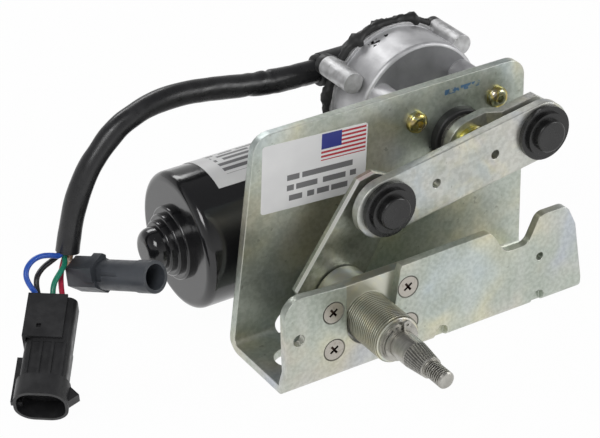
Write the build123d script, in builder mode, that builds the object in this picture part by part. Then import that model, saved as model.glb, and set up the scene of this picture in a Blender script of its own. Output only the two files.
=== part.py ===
"""Windscreen wiper motor with its bracket, crank linkage, wiper spindle and wiring harness.

The frame is +X along the bracket's width, +Y towards the back and +Z up. The origin is on the
wiper spindle's axis, in the front face of the bracket's front flange. Sizes are in millimetres.
"""
import os
from math import atan2, cos, degrees, hypot, pi, radians, sin, tan

from build123d import *

os.makedirs("parts", exist_ok=True)

# ---------------------------------------------------------------- clearances
RUNNING = 0.05          # radial clearance of a shaft in its bearing
GAP = 0.4               # gap between pieces that pass each other
SCREW_CLEARANCE = 0.3   # radial clearance of a screw in its hole

# ---------------------------------------------------------------- bracket
SHEET = 4.0             # thickness of the bent sheet
FRONT_BEND = 0.5        # inside radius of the bend under the flange
REAR_BEND = 3.5         # inside radius of the bend under the plate
BASE_Z = -24.6          # underside of the web
PLATE_FRONT = 43.0      # front face of the back plate
FLANGE_LEFT = -43.6
FLANGE_FLARE = (-14.0, -19.0)   # the flange widens to the web's left end between these heights
WEB_LEFT = -45.2
FLANGE_RIGHT = 115.0
FLANGE_TOP = 22.2
HOOK_LEFT = 93.5
HOOK_RIGHT = 109.5
VALLEY_Z = 7.9
PLATE_TOP = 78.3
PLATE_TOP_LEFT = -30.6
PLATE_RIGHT = 111.5
PLATE_CORNER = 9.0
SLOT_LEFT = -12.6
SLOT_RIGHT_LOW = 11.9
SLOT_RIGHT_HIGH = 15.2
LEFT_HOLE = (-36.8, 1.7)
LEFT_HOLE_RADIUS = 2.9
RIGHT_HOLE = (90.9, 1.0)
RIGHT_HOLE_RADIUS = 2.0
RELIEF_RADIUS = 3.5
RELIEF_PLACES = (37.3, 90.7)
RELIEF_RAISE = 3.9      # centre of a relief above the underside
TRIM = (260.0, 160.0)   # blank that the outlines are cut out of
WEB_HOLE = (-29.0, 20.0)
WEB_HOLE_RADIUS = 8.0
PLATE_HOLE_X = -17.0
PLATE_HOLE_RADIUS = 7.0

# ---------------------------------------------------------------- spindle and its bush
BUSH_RADIUS = 11.2
BUSH_FRONT = -20.5
PAD_WIDTH = 50.0
PAD_TOP = 17.8
PAD_BOTTOM = -14.6
PAD_THICKNESS = 5.0
REAR_BOSS_RADIUS = 13.2
REAR_BOSS_END = 25.2
PIVOT_SCREW_X = 19.2
PIVOT_SCREW_Z = 9.5
PIVOT_SCREW_HEAD = 4.9
PIVOT_SCREW_SHANK = 2.5
PIVOT_SCREW_LENGTH = 13.0
SPINDLE_RADIUS = 6.35
SLEEVE_WALL = 1.6
SLEEVE_LENGTH = 14.0
SPINDLE_SHOULDER = -34.0
TAPER_FRONT = -46.0
TAPER_SMALL_RADIUS = 4.9
TIP_THREAD_RADIUS = 4.0
TIP_PITCH = 1.25
TIP_FRONT = -57.4
WASHER_THICKNESS = 1.2
WASHER_RADIUS = 9.6
CIRCLIP_THICKNESS = 1.0
CIRCLIP_RADIUS = 8.2

# ---------------------------------------------------------------- linkage
HUB_X = 74.0            # axis of the output shaft
HUB_Z = 49.8
CRANK_THROW = 29.0
LINK_LENGTH = 84.0
PARK_ANGLE = 8.9        # slope of crank and link at rest, in one line
BAR = 4.3               # thickness of crank arm, lever and link
LINK_FRONT = 16.5
LINK_HALF_WIDTH = 14.0
LINK_TAIL = 1.8         # how far the left end's curve is shifted past its pin
LINK_HOLE_RADIUS = 2.2
LINK_HOLES = (-29.1, 2.8)
ARM_FRONT = 26.0        # outer stretch of the crank arm and the lever
HUB_ARM_FRONT = 31.0    # inner stretch of the crank arm
ARM_HALF_WIDTH = 12.6
ARM_OVERHANG = 11.5
JOGGLE_START = 9.6
JOGGLE_END = 15.0
PIN_RADIUS = 5.0
CAP_RADII = (13.0, 10.4, 7.6)
CAP_STEPS = (14.0, 12.2, 9.4)
CAP_BORE_FRONT = 11.0
COLLAR_RADIUS = 10.5
SNAP_RADIUS = 8.0
LEVER_ROOT_RADIUS = 16.0
LEVER_LEFT_ROOT = 18.2
LEVER_LEFT_END = 12.5
LEVER_SHOULDER = (-3.3, 22.5)
LEVER_HEEL = (-7.0, 18.0)
LEVER_RIGHT_ROOT = -9.2
LEVER_RIGHT_END = -12.8
LEVER_END = 11.5
LEVER_CORNER = 6.5

# ---------------------------------------------------------------- gearbox
SHAFT_RADIUS = 6.0
SHAFT_THREAD_RADIUS = 4.9
BOX_FRONT = 72.0        # front face of the drum
BOX_WALL = 2.0
BOX_FLOOR = 3.0
BOX_RADIUS = 33.0
BOX_ROUND = 1.8         # rounding of the drum's front edge
BOX_REAR = 97.0
RIM_RADIUS = 34.6
RIM_THICKNESS = 3.0
GASKET_THICKNESS = 1.5
GASKET_RADIUS = 36.2
COVER_RADIUS = 35.0
COVER_PLATE = 2.0
DOME_RADIUS = 26.0
NOZZLE_LEFT = 44.0
NOZZLE_RADIUS = 8.0
COVER_DEPTH = 17.0
COVER_WALL = 2.0
EAR_RADIUS = 5.0
EARS = ((39.9, 71.2), (99.6, 74.3), (40.6, 26.4), (107.4, 26.4))
EAR_FRONT = 3.5         # how far the bosses stand behind the drum's front
COVER_SCREW_RADIUS = 2.0
PILLAR_RADIUS = 6.5
PILLAR_CIRCLE = 25.4
PILLAR_ANGLES = (30.0, 150.0, 270.0)
MOUNT_SCREW_RADIUS = 3.0
MOUNT_HEAD_RADIUS = 5.2
MOUNT_HEAD_HEIGHT = 3.6
FRONT_BOSS_RADIUS = 11.0
FRONT_BOSS_END = 39.6
SEAL_RADIUS = 13.8
SEAL_FRONT = 38.6
NUT_FLANGE_RADIUS = 9.3
NUT_FLANGE_THICKNESS = 2.0
NUT_ACROSS_FLATS = 15.0
NUT_FRONT = 23.6
SHAFT_FRONT = 22.2

# ---------------------------------------------------------------- gear train
WHEEL_FRONT = 79.5
WHEEL_WIDTH = 9.0
WHEEL_TEETH = 48
WHEEL_TIP_RADIUS = 29.6
TOOTH_DEPTH = 2.6
PARK_DISC_RADIUS = 20.0
PARK_DISC_THICKNESS = 0.8
WORM_ROOT_RADIUS = 4.6
WORM_LENGTH = 30.0
MESH_GAP = 0.15

# ---------------------------------------------------------------- motor
MOTOR_Y = 84.0
MOTOR_Z = 13.6
CAN_RADIUS = 32.3
CAN_WALL = 1.8
CAN_LEFT = -50.5
CAN_RIGHT = 30.0
CAN_EDGE = 4.0
NOSE_RADII = (17.4, 14.6, 12.2)
NOSE_STEPS = (-53.5, -56.5, -59.5)
NOSE_ROUND = 1.1
NOSE_TIP = -66.8
NOSE_TIP_RADIUS = 10.0
NOSE_TIP_ROUND = 5.2
MOTOR_FLANGE = 4.0
SPIGOT = 3.0
TUNNEL_WALL = 2.6
TUNNEL_RIGHT = 108.0
ARMATURE_SHAFT_RADIUS = 4.0
CORE_RADIUS = 19.0
CORE_LEFT = -28.0
CORE_RIGHT = 8.0
CORE_SLOTS = 12
MAGNET_THICKNESS = 7.0
MAGNET_ARC = 130.0
COMMUTATOR_RADIUS = 9.0
COMMUTATOR_LEFT = 13.0
COMMUTATOR_RIGHT = 22.0
CAN_EAR_OFFSET = 25.7
CAN_EAR_RADIUS = 5.5

# ---------------------------------------------------------------- labels
LABEL_THICKNESS = 0.2
LABEL_GLUE = 0.05       # layer under the can's label
CAN_LABEL_LEFT = -34.5
CAN_LABEL_LENGTH = 48.0
CAN_LABEL_START = 40.0
CAN_LABEL_END = 116.0
PLATE_LABEL_CENTRE = (-1.3, 55.0)
PLATE_LABEL_WIDTH = 53.8
PLATE_LABEL_HEIGHT = 33.0
PLATE_LABEL_TILT = -3.7
PLATE_LABEL_CORNER = 1.5

# ---------------------------------------------------------------- harness
SHEATH_DIAMETER = 11.0
WIRE_DIAMETER = 2.5
SHEATH_WALL = 0.8
WIRE_SEAT = 5.0         # depth of the wires in the sheath's end
GROMMET_WALL = 1.2
GROMMET_DEPTH = 5.0
PLUG4_REAR = Vector(-111.6, 83.0, 1.4)
PLUG4_AIM = Vector(-0.5381, -0.7618, -0.3607).normalized()
PLUG4_ACROSS = Vector(0.8254, -0.563, -0.0423)
PLUG4_LENGTH = 53.0
PLUG4_WIDTH = 23.0
PLUG4_HEIGHT = 14.0
PLUG4_MOUTH = 20.5
PLUG4_SHELL = 24.0
PLUG4_COLLAR = 10.5
PLUG4_SOCKET = 14.0
PLUG4_STEP = 8.8        # depth of the mouth, less than the collar
PLUG4_POCKET = 4.8      # half the distance between the two pockets
PLUG4_PIN_LENGTH = 5.0
PLUG4_PINS = (-7.2, -2.4, 2.4, 7.2)
PLUG4_RIBS = (-7.5, -2.5, 2.5, 7.5)
PLUG4_WEDGE = 5.0       # how far the latch wedge stands out
PLUG1_LENGTH = 50.6
PLUG1_AIM = Vector(0.336, -0.889, 0.308).normalized()
PLUG1_ACROSS = Vector(0.94, 0.28, -0.19)
PLUG1_REAR = Vector(-76.4, 54.0, 19.4) - PLUG1_AIM * PLUG1_LENGTH
PLUG1_RADIUS = 7.3
PLUG1_REAR_LENGTH = 19.0
PLUG1_NECK = 4.0
PLUG1_HEX = 1.0         # how far the hexagon's corners stand beyond the nose
PLUG1_STRAP = 5.5
PLUG1_GROOVE = 10.0     # length of the key groove behind the neck
PLUG1_LIP = 9.0
PLUG1_SOCKET = 18.0
PLUG1_PIN_LENGTH = 9.0
PLUG1_WIRE_SEAT = 1.0
PLUG1_WIRE_PLACE = 3.5
EXIT_Y = 110.2
EXIT_Z = 62.9
SHEATH_ROUTE = (
    (50.0, 110.2, 62.9),
    (26.5, 110.2, 62.9),
    (2.7, 108.4, 67.0),
    (-21.0, 106.7, 72.3),
    (-42.0, 105.3, 74.6),
    (-61.0, 104.0, 70.7),
    (-76.0, 103.0, 60.0),
    (-86.8, 102.0, 45.2),
    (-93.2, 101.0, 29.2),
    (-96.4, 100.0, 16.0),
)


WIRE_ROUTES = {
    "wire_blue": (
        (-98.1, 99.2, 21.3),
        (-99.6, 98.7, 14.8),
        (-105.8, 97.0, 18.6),
        (-111.0, 97.0, 19.9),
        (-116.1, 95.5, 19.6),
        (-120.0, 93.5, 17.0),
        (-121.0, 90.5, 13.2),
        (-116.9, 87.8, 4.7),
        (-120.2, 83.1, 2.4),
    ),
    "wire_black": (
        (-97.5, 102.5, 20.9),
        (-99.0, 102.0, 14.4),
        (-103.8, 101.0, 13.1),
        (-110.5, 98.5, 12.2),
        (-115.8, 94.0, 10.1),
        (-116.0, 89.4, 0.0),
        (-119.4, 84.7, -2.2),
    ),
    "wire_green": (
        (-95.3, 97.3, 20.8),
        (-96.9, 96.8, 14.3),
        (-100.0, 94.5, 14.1),
        (-105.4, 91.5, 13.6),
        (-110.4, 88.5, 10.1),
        (-112.1, 84.9, 3.7),
        (-115.5, 80.2, 1.4),
    ),
    "wire_red": (
        (-94.3, 103.2, 20.1),
        (-95.8, 102.7, 13.6),
        (-101.1, 97.0, 10.3),
        (-105.0, 91.0, 6.9),
        (-107.8, 83.3, 0.7),
        (-111.1, 78.6, -1.5),
    ),
    "wire_tan": (
        (-92.3, 100.3, 19.8),
        (-93.6, 99.9, 14.5),
        (-92.2, 105.6, 13.2),
        (-91.5, 110.4, 8.4),
        (-92.4, 109.2, 3.2),
        (-91.9, 104.8, 1.4),
        (-89.8, 99.3, 3.3),
    ),
}

# ---------------------------------------------------------------- derived sizes
HUB = (HUB_X, HUB_Z)
PARK = radians(PARK_ANGLE)
CRANK_PIN = (HUB_X + CRANK_THROW * cos(PARK), HUB_Z + CRANK_THROW * sin(PARK))
LEVER_PIN = (
    CRANK_PIN[0] - LINK_LENGTH * cos(PARK),
    CRANK_PIN[1] - LINK_LENGTH * sin(PARK),
)
LEVER_LENGTH = hypot(*LEVER_PIN)
LEVER_ANGLE = degrees(atan2(LEVER_PIN[1], LEVER_PIN[0]))
PLATE_REAR = PLATE_FRONT + SHEET
WEB_TOP = BASE_Z + SHEET
LINK_REAR = LINK_FRONT + BAR
ARM_REAR = ARM_FRONT + BAR
HUB_ARM_REAR = HUB_ARM_FRONT + BAR
COVER_FRONT = BOX_REAR + GASKET_THICKNESS
COVER_REAR = COVER_FRONT + COVER_DEPTH
BOX_INSIDE = BOX_RADIUS - BOX_WALL
WORM_RADIUS = (HUB_Z - MOTOR_Z) - WHEEL_TIP_RADIUS - MESH_GAP
WORM_PITCH = 2 * pi * (WHEEL_TIP_RADIUS - TOOTH_DEPTH / 2) / WHEEL_TEETH
TUNNEL_INSIDE = WORM_RADIUS + 1.2
TUNNEL_RADIUS = TUNNEL_INSIDE + TUNNEL_WALL
CAN_INSIDE = CAN_RADIUS - CAN_WALL
MOTOR_AXIS = (MOTOR_Y, MOTOR_Z)
CAN_EARS = [
    (MOTOR_Y - sign * CAN_EAR_OFFSET, MOTOR_Z + sign * CAN_EAR_OFFSET) for sign in (-1, 1)
]


def front(y):
    """Plane that faces the front at depth y, with local x along X and local y along Z."""
    return Plane.XZ.offset(-y)


def side(x):
    """Plane that faces +X at place x, with local x along Y and local y along Z."""
    return Plane.YZ.offset(x)


def along_bar(y, origin=HUB, angle=PARK_ANGLE):
    """Plane that faces the front, with local x along a bar that starts at origin."""
    slope = radians(angle)
    return Plane(
        origin=(origin[0], y, origin[1]),
        x_dir=(cos(slope), 0, sin(slope)),
        z_dir=(0, -1, 0),
    )


def round_face(plane, centre, radius):
    """Circle on a plane."""
    with BuildSketch(plane, mode=Mode.PRIVATE) as face:
        with Locations(centre):
            Circle(radius)
    return face.sketch


def ring_face(plane, centre, radius, hole):
    """Circle with a concentric hole on a plane."""
    with BuildSketch(plane, mode=Mode.PRIVATE) as face:
        with Locations(centre):
            Circle(radius)
            Circle(hole, mode=Mode.SUBTRACT)
    return face.sketch


def around(centre, radius, angles):
    """Points on a circle."""
    return [
        (centre[0] + radius * cos(radians(a)), centre[1] + radius * sin(radians(a)))
        for a in angles
    ]


def save(piece, name):
    """Label a finished piece and write it."""
    piece.part.label = name
    export_step(piece.part, f"parts/{name}.step")


# ================================================================ bracket
PIVOT_SCREWS = [
    (x, z) for x in (-PIVOT_SCREW_X, PIVOT_SCREW_X) for z in (-PIVOT_SCREW_Z, PIVOT_SCREW_Z)
]
MOUNT_SCREWS = around(HUB, PILLAR_CIRCLE, PILLAR_ANGLES)
BELOW = BASE_Z - 10     # lower end of the trimming outlines


def flange_outline():
    """Front flange: slanted left top, slot round the bush, valley and hook at the right."""
    with BuildSketch(Plane.XZ, mode=Mode.PRIVATE) as face:
        with BuildLine():
            Polyline(
                (WEB_LEFT, BELOW),
                (WEB_LEFT, FLANGE_FLARE[1]),
                (FLANGE_LEFT, FLANGE_FLARE[0]),
                (FLANGE_LEFT, FLANGE_TOP + 1.2),
                (SLOT_LEFT, FLANGE_TOP - 1.6),
                (HOOK_LEFT - 30.0, FLANGE_TOP),
            )
            Polyline(
                (HOOK_LEFT - 30.0, FLANGE_TOP),
                (HOOK_LEFT - 22.0, VALLEY_Z + 1.5),
                (HOOK_LEFT - 9.5, VALLEY_Z + 1.5),
                (HOOK_LEFT - 3.0, FLANGE_TOP + 0.4),
                (HOOK_RIGHT - 4.0, FLANGE_TOP + 0.4),
                (HOOK_RIGHT + 1.0, 12.0),
                (FLANGE_RIGHT, WEB_TOP + 3.0),
                (FLANGE_RIGHT, BELOW),
                (WEB_LEFT, BELOW),
            )
        make_face()
        corners = face.vertices()
        top_left = corners.filter_by_position(Axis.X, FLANGE_LEFT - 0.1, FLANGE_LEFT + 0.1)
        fillet(top_left.sort_by(Axis.Y)[-1], 9.0)
        high = face.vertices().filter_by_position(Axis.Y, FLANGE_TOP - 0.1, FLANGE_TOP + 0.5)
        fillet(high.filter_by_position(Axis.X, HOOK_LEFT - 31, HOOK_LEFT - 29), 4.0)
        high = face.vertices().filter_by_position(Axis.Y, FLANGE_TOP + 0.3, FLANGE_TOP + 0.5)
        fillet(high.filter_by_position(Axis.X, HOOK_LEFT - 4, HOOK_RIGHT), 5.0)
        low = face.vertices().filter_by_position(Axis.Y, VALLEY_Z + 1.4, VALLEY_Z + 1.6)
        fillet(low, 5.5)
    return face.sketch


def plate_outline():
    """Back plate: slanted left edge, rounded top corners."""
    with BuildSketch(Plane.XZ, mode=Mode.PRIVATE) as face:
        with BuildLine():
            Polyline(
                (WEB_LEFT, BELOW),
                (WEB_LEFT, WEB_TOP),
                (PLATE_TOP_LEFT, PLATE_TOP),
                (PLATE_RIGHT, PLATE_TOP),
                (PLATE_RIGHT, BELOW),
                close=True,
            )
        make_face()
        top = face.vertices().filter_by_position(Axis.Y, PLATE_TOP - 0.1, PLATE_TOP + 0.1)
        fillet(top, PLATE_CORNER)
    return face.sketch


def make_bracket():
    """Sheet bent twice into a channel, with a tall back plate and a low front flange."""
    mid = PLATE_FRONT / 2
    wide = PLATE_REAR + 2
    with BuildPart() as bracket:
        with BuildSketch(side(FLANGE_LEFT - 6)):
            with BuildLine():
                Polyline(
                    (0, FLANGE_TOP + 5),
                    (0, BASE_Z),
                    (PLATE_REAR, BASE_Z),
                    (PLATE_REAR, PLATE_TOP + 2),
                    (PLATE_FRONT, PLATE_TOP + 2),
                    (PLATE_FRONT, WEB_TOP),
                    (SHEET, WEB_TOP),
                    (SHEET, FLANGE_TOP + 5),
                    close=True,
                )
            make_face()
        extrude(amount=FLANGE_RIGHT - FLANGE_LEFT + 12)
        bends = bracket.edges().filter_by(Axis.X)
        outer = bends.filter_by_position(Axis.Z, BASE_Z - 0.1, BASE_Z + 0.1).sort_by(Axis.Y)
        inner = bends.filter_by_position(Axis.Z, WEB_TOP - 0.1, WEB_TOP + 0.1).sort_by(Axis.Y)
        fillet(outer[0], FRONT_BEND + SHEET)
        fillet(outer[-1], REAR_BEND + SHEET)
        fillet(inner[0], FRONT_BEND)
        fillet(inner[-1], REAR_BEND)
        # trim the front half to the flange's outline and the rear half to the plate's
        with BuildSketch(front(-1)):
            with Locations((mid, 20)):
                Rectangle(*TRIM)
            add(flange_outline(), mode=Mode.SUBTRACT)
        extrude(amount=-(mid + 1), mode=Mode.SUBTRACT)
        with BuildSketch(front(mid)):
            with Locations((mid, 20)):
                Rectangle(*TRIM)
            add(plate_outline(), mode=Mode.SUBTRACT)
        extrude(amount=-(wide - mid), mode=Mode.SUBTRACT)
        # slot open at the top round the bush
        with BuildSketch(front(-1)):
            with BuildLine():
                Polyline(
                    (SLOT_LEFT, FLANGE_TOP + 5),
                    (SLOT_LEFT, 0),
                    (SLOT_RIGHT_LOW, 0),
                    (SLOT_RIGHT_HIGH, FLANGE_TOP - 3),
                    (SLOT_RIGHT_HIGH + 3.5, FLANGE_TOP + 5),
                    close=True,
                )
            make_face()
            with Locations(((SLOT_LEFT + SLOT_RIGHT_LOW) / 2, 0)):
                Circle((SLOT_RIGHT_LOW - SLOT_LEFT) / 2)
        extrude(amount=-(SHEET + 2), mode=Mode.SUBTRACT)
        # screw holes round the slot, countersunk from the front
        with Locations(front(0)):
            with Locations(*PIVOT_SCREWS):
                CounterSinkHole(
                    PIVOT_SCREW_SHANK + SCREW_CLEARANCE, PIVOT_SCREW_HEAD + 0.35, SHEET + 2, 90
                )
        extrude(
            round_face(front(-1), LEFT_HOLE, LEFT_HOLE_RADIUS),
            amount=-(SHEET + 2),
            mode=Mode.SUBTRACT,
        )
        extrude(
            round_face(front(-1), RIGHT_HOLE, RIGHT_HOLE_RADIUS),
            amount=-(SHEET + 2),
            mode=Mode.SUBTRACT,
        )
        # bend reliefs, holes in the web and the plate
        with BuildSketch(front(-1)):
            with Locations(*[(x, BASE_Z + RELIEF_RAISE) for x in RELIEF_PLACES]):
                Circle(RELIEF_RADIUS)
            with Locations(*[(x, BASE_Z) for x in RELIEF_PLACES]):
                Rectangle(2 * RELIEF_RADIUS, 2 * RELIEF_RAISE)
        extrude(amount=-(SHEET + 1), mode=Mode.SUBTRACT)
        extrude(
            round_face(Plane.XY.offset(BASE_Z - 1), WEB_HOLE, WEB_HOLE_RADIUS),
            amount=SHEET + 2,
            mode=Mode.SUBTRACT,
        )
        plate_hole = (PLATE_HOLE_X, WEB_TOP + 1.0)
        extrude(
            round_face(front(PLATE_FRONT - REAR_BEND), plate_hole, PLATE_HOLE_RADIUS),
            amount=-(SHEET + REAR_BEND + 1),
            mode=Mode.SUBTRACT,
        )
        # opening for the gearbox's front boss, and the three mounting holes
        extrude(
            round_face(front(PLATE_FRONT - 1), HUB, FRONT_BOSS_RADIUS + SCREW_CLEARANCE),
            amount=-(SHEET + 2),
            mode=Mode.SUBTRACT,
        )
        for place in MOUNT_SCREWS:
            extrude(
                round_face(front(PLATE_FRONT - 1), place, MOUNT_SCREW_RADIUS + SCREW_CLEARANCE),
                amount=-(SHEET + 2),
                mode=Mode.SUBTRACT,
            )
    save(bracket, "bracket")


# ================================================================ spindle carrier
BORE_RADIUS = SPINDLE_RADIUS + SLEEVE_WALL


def make_pivot_housing():
    """Casting behind the flange: pad, threaded bush through the slot, round rear boss."""
    with BuildPart() as pivot_housing:
        with BuildSketch(front(SHEET)):
            with Locations((0, (PAD_TOP + PAD_BOTTOM) / 2)):
                RectangleRounded(PAD_WIDTH, PAD_TOP - PAD_BOTTOM, 4.0)
        extrude(amount=-PAD_THICKNESS)
        extrude(round_face(front(SHEET), (0, 0), BUSH_RADIUS), amount=SHEET - BUSH_FRONT)
        end = pivot_housing.edges().filter_by(GeomType.CIRCLE).sort_by(Axis.Y)[0]
        chamfer(end, 0.9)
        extrude(
            round_face(front(SHEET), (0, 0), REAR_BOSS_RADIUS),
            amount=-(REAR_BOSS_END - SHEET),
        )
        # spindle bore, wider at both ends for the sleeves
        extrude(
            round_face(front(BUSH_FRONT - 1), (0, 0), SPINDLE_RADIUS + 0.6),
            amount=-(REAR_BOSS_END - BUSH_FRONT + 2),
            mode=Mode.SUBTRACT,
        )
        extrude(
            round_face(front(BUSH_FRONT), (0, 0), BORE_RADIUS),
            amount=-SLEEVE_LENGTH,
            mode=Mode.SUBTRACT,
        )
        extrude(
            round_face(front(REAR_BOSS_END), (0, 0), BORE_RADIUS),
            amount=SLEEVE_LENGTH,
            mode=Mode.SUBTRACT,
        )
        for place in PIVOT_SCREWS:
            extrude(
                round_face(front(SHEET), place, PIVOT_SCREW_SHANK),
                amount=-(PAD_THICKNESS + 1),
                mode=Mode.SUBTRACT,
            )
    save(pivot_housing, "pivot_housing")


def make_sleeves():
    """Two bronze sleeves that carry the spindle in the bush and in the rear boss."""
    places = {"front_sleeve": BUSH_FRONT, "rear_sleeve": REAR_BOSS_END - SLEEVE_LENGTH}
    for name, start in places.items():
        with BuildPart() as sleeve:
            extrude(
                ring_face(front(start), (0, 0), BORE_RADIUS, SPINDLE_RADIUS + RUNNING),
                amount=-SLEEVE_LENGTH,
            )
        save(sleeve, name)


def make_pivot_screws():
    """Four countersunk screws with a cross recess, flush with the flange."""
    with BuildPart() as pivot_screws:
        for x, z in PIVOT_SCREWS:
            cone = PIVOT_SCREW_HEAD - PIVOT_SCREW_SHANK
            with BuildSketch(front(0.1)):
                with Locations((x, z)):
                    Circle(PIVOT_SCREW_HEAD)
            with BuildSketch(front(0.1 + cone)):
                with Locations((x, z)):
                    Circle(PIVOT_SCREW_SHANK)
            loft()
            extrude(
                round_face(front(0.1 + cone), (x, z), PIVOT_SCREW_SHANK),
                amount=-(PIVOT_SCREW_LENGTH - cone),
            )
            with BuildSketch(front(0)):
                with Locations((x, z)):
                    Rectangle(4.8, 1.1, rotation=35)
                    Rectangle(1.1, 4.8, rotation=35)
            extrude(amount=-1.6, mode=Mode.SUBTRACT)
    save(pivot_screws, "pivot_screws")


# ================================================================ spindle and lever
LEVER_NUT_RADIUS = 8.6
LEVER_NUT_THICKNESS = 4.0
SPINDLE_SQUARE = 5.2    # radius of the spindle's rear seat in the lever


def make_spindle():
    """Spindle: rear seat, ground shaft, taper for the wiper arm and threaded tip."""
    groove = BUSH_FRONT - 2 * WASHER_THICKNESS - 0.2
    with BuildPart() as spindle:
        extrude(
            round_face(front(ARM_FRONT), (0, 0), SPINDLE_RADIUS),
            amount=ARM_FRONT - SPINDLE_SHOULDER,
        )
        extrude(
            round_face(front(ARM_FRONT), (0, 0), SPINDLE_SQUARE),
            amount=-(BAR + LEVER_NUT_THICKNESS + 1.5),
        )
        with BuildSketch(front(SPINDLE_SHOULDER)):
            Circle(SPINDLE_RADIUS)
        with BuildSketch(front(TAPER_FRONT)):
            Circle(TAPER_SMALL_RADIUS)
        loft()
        extrude(
            round_face(front(TAPER_FRONT), (0, 0), TIP_THREAD_RADIUS),
            amount=TAPER_FRONT - TIP_FRONT,
        )
        tip = spindle.edges().filter_by(GeomType.CIRCLE).sort_by(Axis.Y)[0]
        chamfer(tip, 0.7)
        # thread of the tip, as grooves at its pitch
        count = int((TAPER_FRONT - TIP_FRONT - 2.0) / TIP_PITCH)
        for turn in range(count):
            start = TAPER_FRONT - 1.0 - turn * TIP_PITCH
            extrude(
                ring_face(front(start), (0, 0), TIP_THREAD_RADIUS + 1, TIP_THREAD_RADIUS - 0.45),
                amount=TIP_PITCH * 0.4,
                mode=Mode.SUBTRACT,
            )
        # groove of the circlip
        extrude(
            ring_face(front(groove), (0, 0), SPINDLE_RADIUS + 1, SPINDLE_RADIUS - 0.6),
            amount=CIRCLIP_THICKNESS + 0.2,
            mode=Mode.SUBTRACT,
        )
    save(spindle, "spindle")


def make_washers():
    """Steel and wave washer between the bush's end and the circlip."""
    radii = {"steel_washer": WASHER_RADIUS, "wave_washer": WASHER_RADIUS - 0.9}
    start = BUSH_FRONT - 0.1
    for name, radius in radii.items():
        with BuildPart() as washer:
            extrude(
                ring_face(front(start), (0, 0), radius, SPINDLE_RADIUS + 0.2),
                amount=WASHER_THICKNESS - 0.05,
            )
        save(washer, name)
        start -= WASHER_THICKNESS


def make_circlip():
    """Retaining ring with two eared ends at the top."""
    start = BUSH_FRONT - 2 * WASHER_THICKNESS - 0.3
    with BuildPart() as circlip:
        with BuildSketch(front(start)):
            Circle(CIRCLIP_RADIUS)
            for x in (-2.6, 2.6):
                with Locations((x, CIRCLIP_RADIUS + 0.6)):
                    Circle(2.0)
            Circle(SPINDLE_RADIUS - 0.5, mode=Mode.SUBTRACT)
            with Locations((0, CIRCLIP_RADIUS)):
                Rectangle(1.8, 8.0, mode=Mode.SUBTRACT)
            for x in (-2.6, 2.6):
                with Locations((x, CIRCLIP_RADIUS + 0.6)):
                    Circle(0.7, mode=Mode.SUBTRACT)
        extrude(amount=CIRCLIP_THICKNESS)
    save(circlip, "circlip")


def make_lever():
    """Flat lever on the spindle's rear end, wide at the spindle, clipped at its far end."""
    end = LEVER_LENGTH + LEVER_END
    with BuildPart() as lever:
        with BuildSketch(along_bar(ARM_FRONT, (0, 0), LEVER_ANGLE)):
            with BuildLine():
                Polyline(
                    LEVER_HEEL,
                    LEVER_SHOULDER,
                    (LEVER_LENGTH + LEVER_CORNER, LEVER_LEFT_END),
                    (end, LEVER_LEFT_END - LEVER_CORNER),
                    (end, LEVER_RIGHT_END + LEVER_CORNER),
                    (LEVER_LENGTH + LEVER_CORNER, LEVER_RIGHT_END),
                    (LEVER_LENGTH, LEVER_RIGHT_END),
                    (0, LEVER_RIGHT_ROOT),
                    close=True,
                )
            make_face()
            middle = (LEVER_LEFT_ROOT + LEVER_RIGHT_ROOT) / 2
            with Locations((0, middle)):
                Circle((LEVER_LEFT_ROOT - LEVER_RIGHT_ROOT) / 2)
            Circle(LEVER_ROOT_RADIUS - abs(middle))
            Circle(SPINDLE_SQUARE, mode=Mode.SUBTRACT)
            with Locations((LEVER_LENGTH, 0)):
                Circle(PIN_RADIUS, mode=Mode.SUBTRACT)
        extrude(amount=-BAR)
    save(lever, "lever")


def make_lever_nut():
    """Hexagon nut that holds the lever on the spindle."""
    with BuildPart() as lever_nut:
        with BuildSketch(front(ARM_REAR)):
            RegularPolygon(LEVER_NUT_RADIUS, 6)
            Circle(SPINDLE_SQUARE, mode=Mode.SUBTRACT)
        extrude(amount=-LEVER_NUT_THICKNESS)
    save(lever_nut, "lever_nut")


def make_lever_stud():
    """Riveted stud in the lever's far end; the pin of the link stops just short of it."""
    with BuildPart() as lever_stud:
        extrude(round_face(front(ARM_FRONT), LEVER_PIN, PIN_RADIUS), amount=-(BAR + 0.5))
        extrude(round_face(front(ARM_REAR), LEVER_PIN, PIN_RADIUS + 2), amount=-2.2)
        rim = lever_stud.edges().filter_by(GeomType.CIRCLE).sort_by(Axis.Y)[-1]
        chamfer(rim, 1.2)
    save(lever_stud, "lever_stud")


# ================================================================ link
def make_link_bar():
    """Flat bar with round ends, a snap-in bushing at each end and two small holes."""
    ends = (CRANK_THROW, CRANK_THROW - LINK_LENGTH)
    with BuildPart() as link_bar:
        with BuildSketch(along_bar(LINK_FRONT)):
            with Locations(((ends[0] + ends[1] - LINK_TAIL) / 2, 0)):
                SlotCenterToCenter(LINK_LENGTH + LINK_TAIL, 2 * LINK_HALF_WIDTH)
            for x in ends:
                with Locations((x, 0)):
                    Circle(SNAP_RADIUS, mode=Mode.SUBTRACT)
            for x in LINK_HOLES:
                with Locations((x, 0)):
                    Circle(LINK_HOLE_RADIUS, mode=Mode.SUBTRACT)
        extrude(amount=-BAR)
        rims = link_bar.edges().filter_by(lambda e: e.length > LINK_HALF_WIDTH)
        fillet(rims.filter_by_position(Axis.Y, LINK_FRONT - 0.1, LINK_FRONT + 0.1), 0.5)
    save(link_bar, "link_bar")


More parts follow.
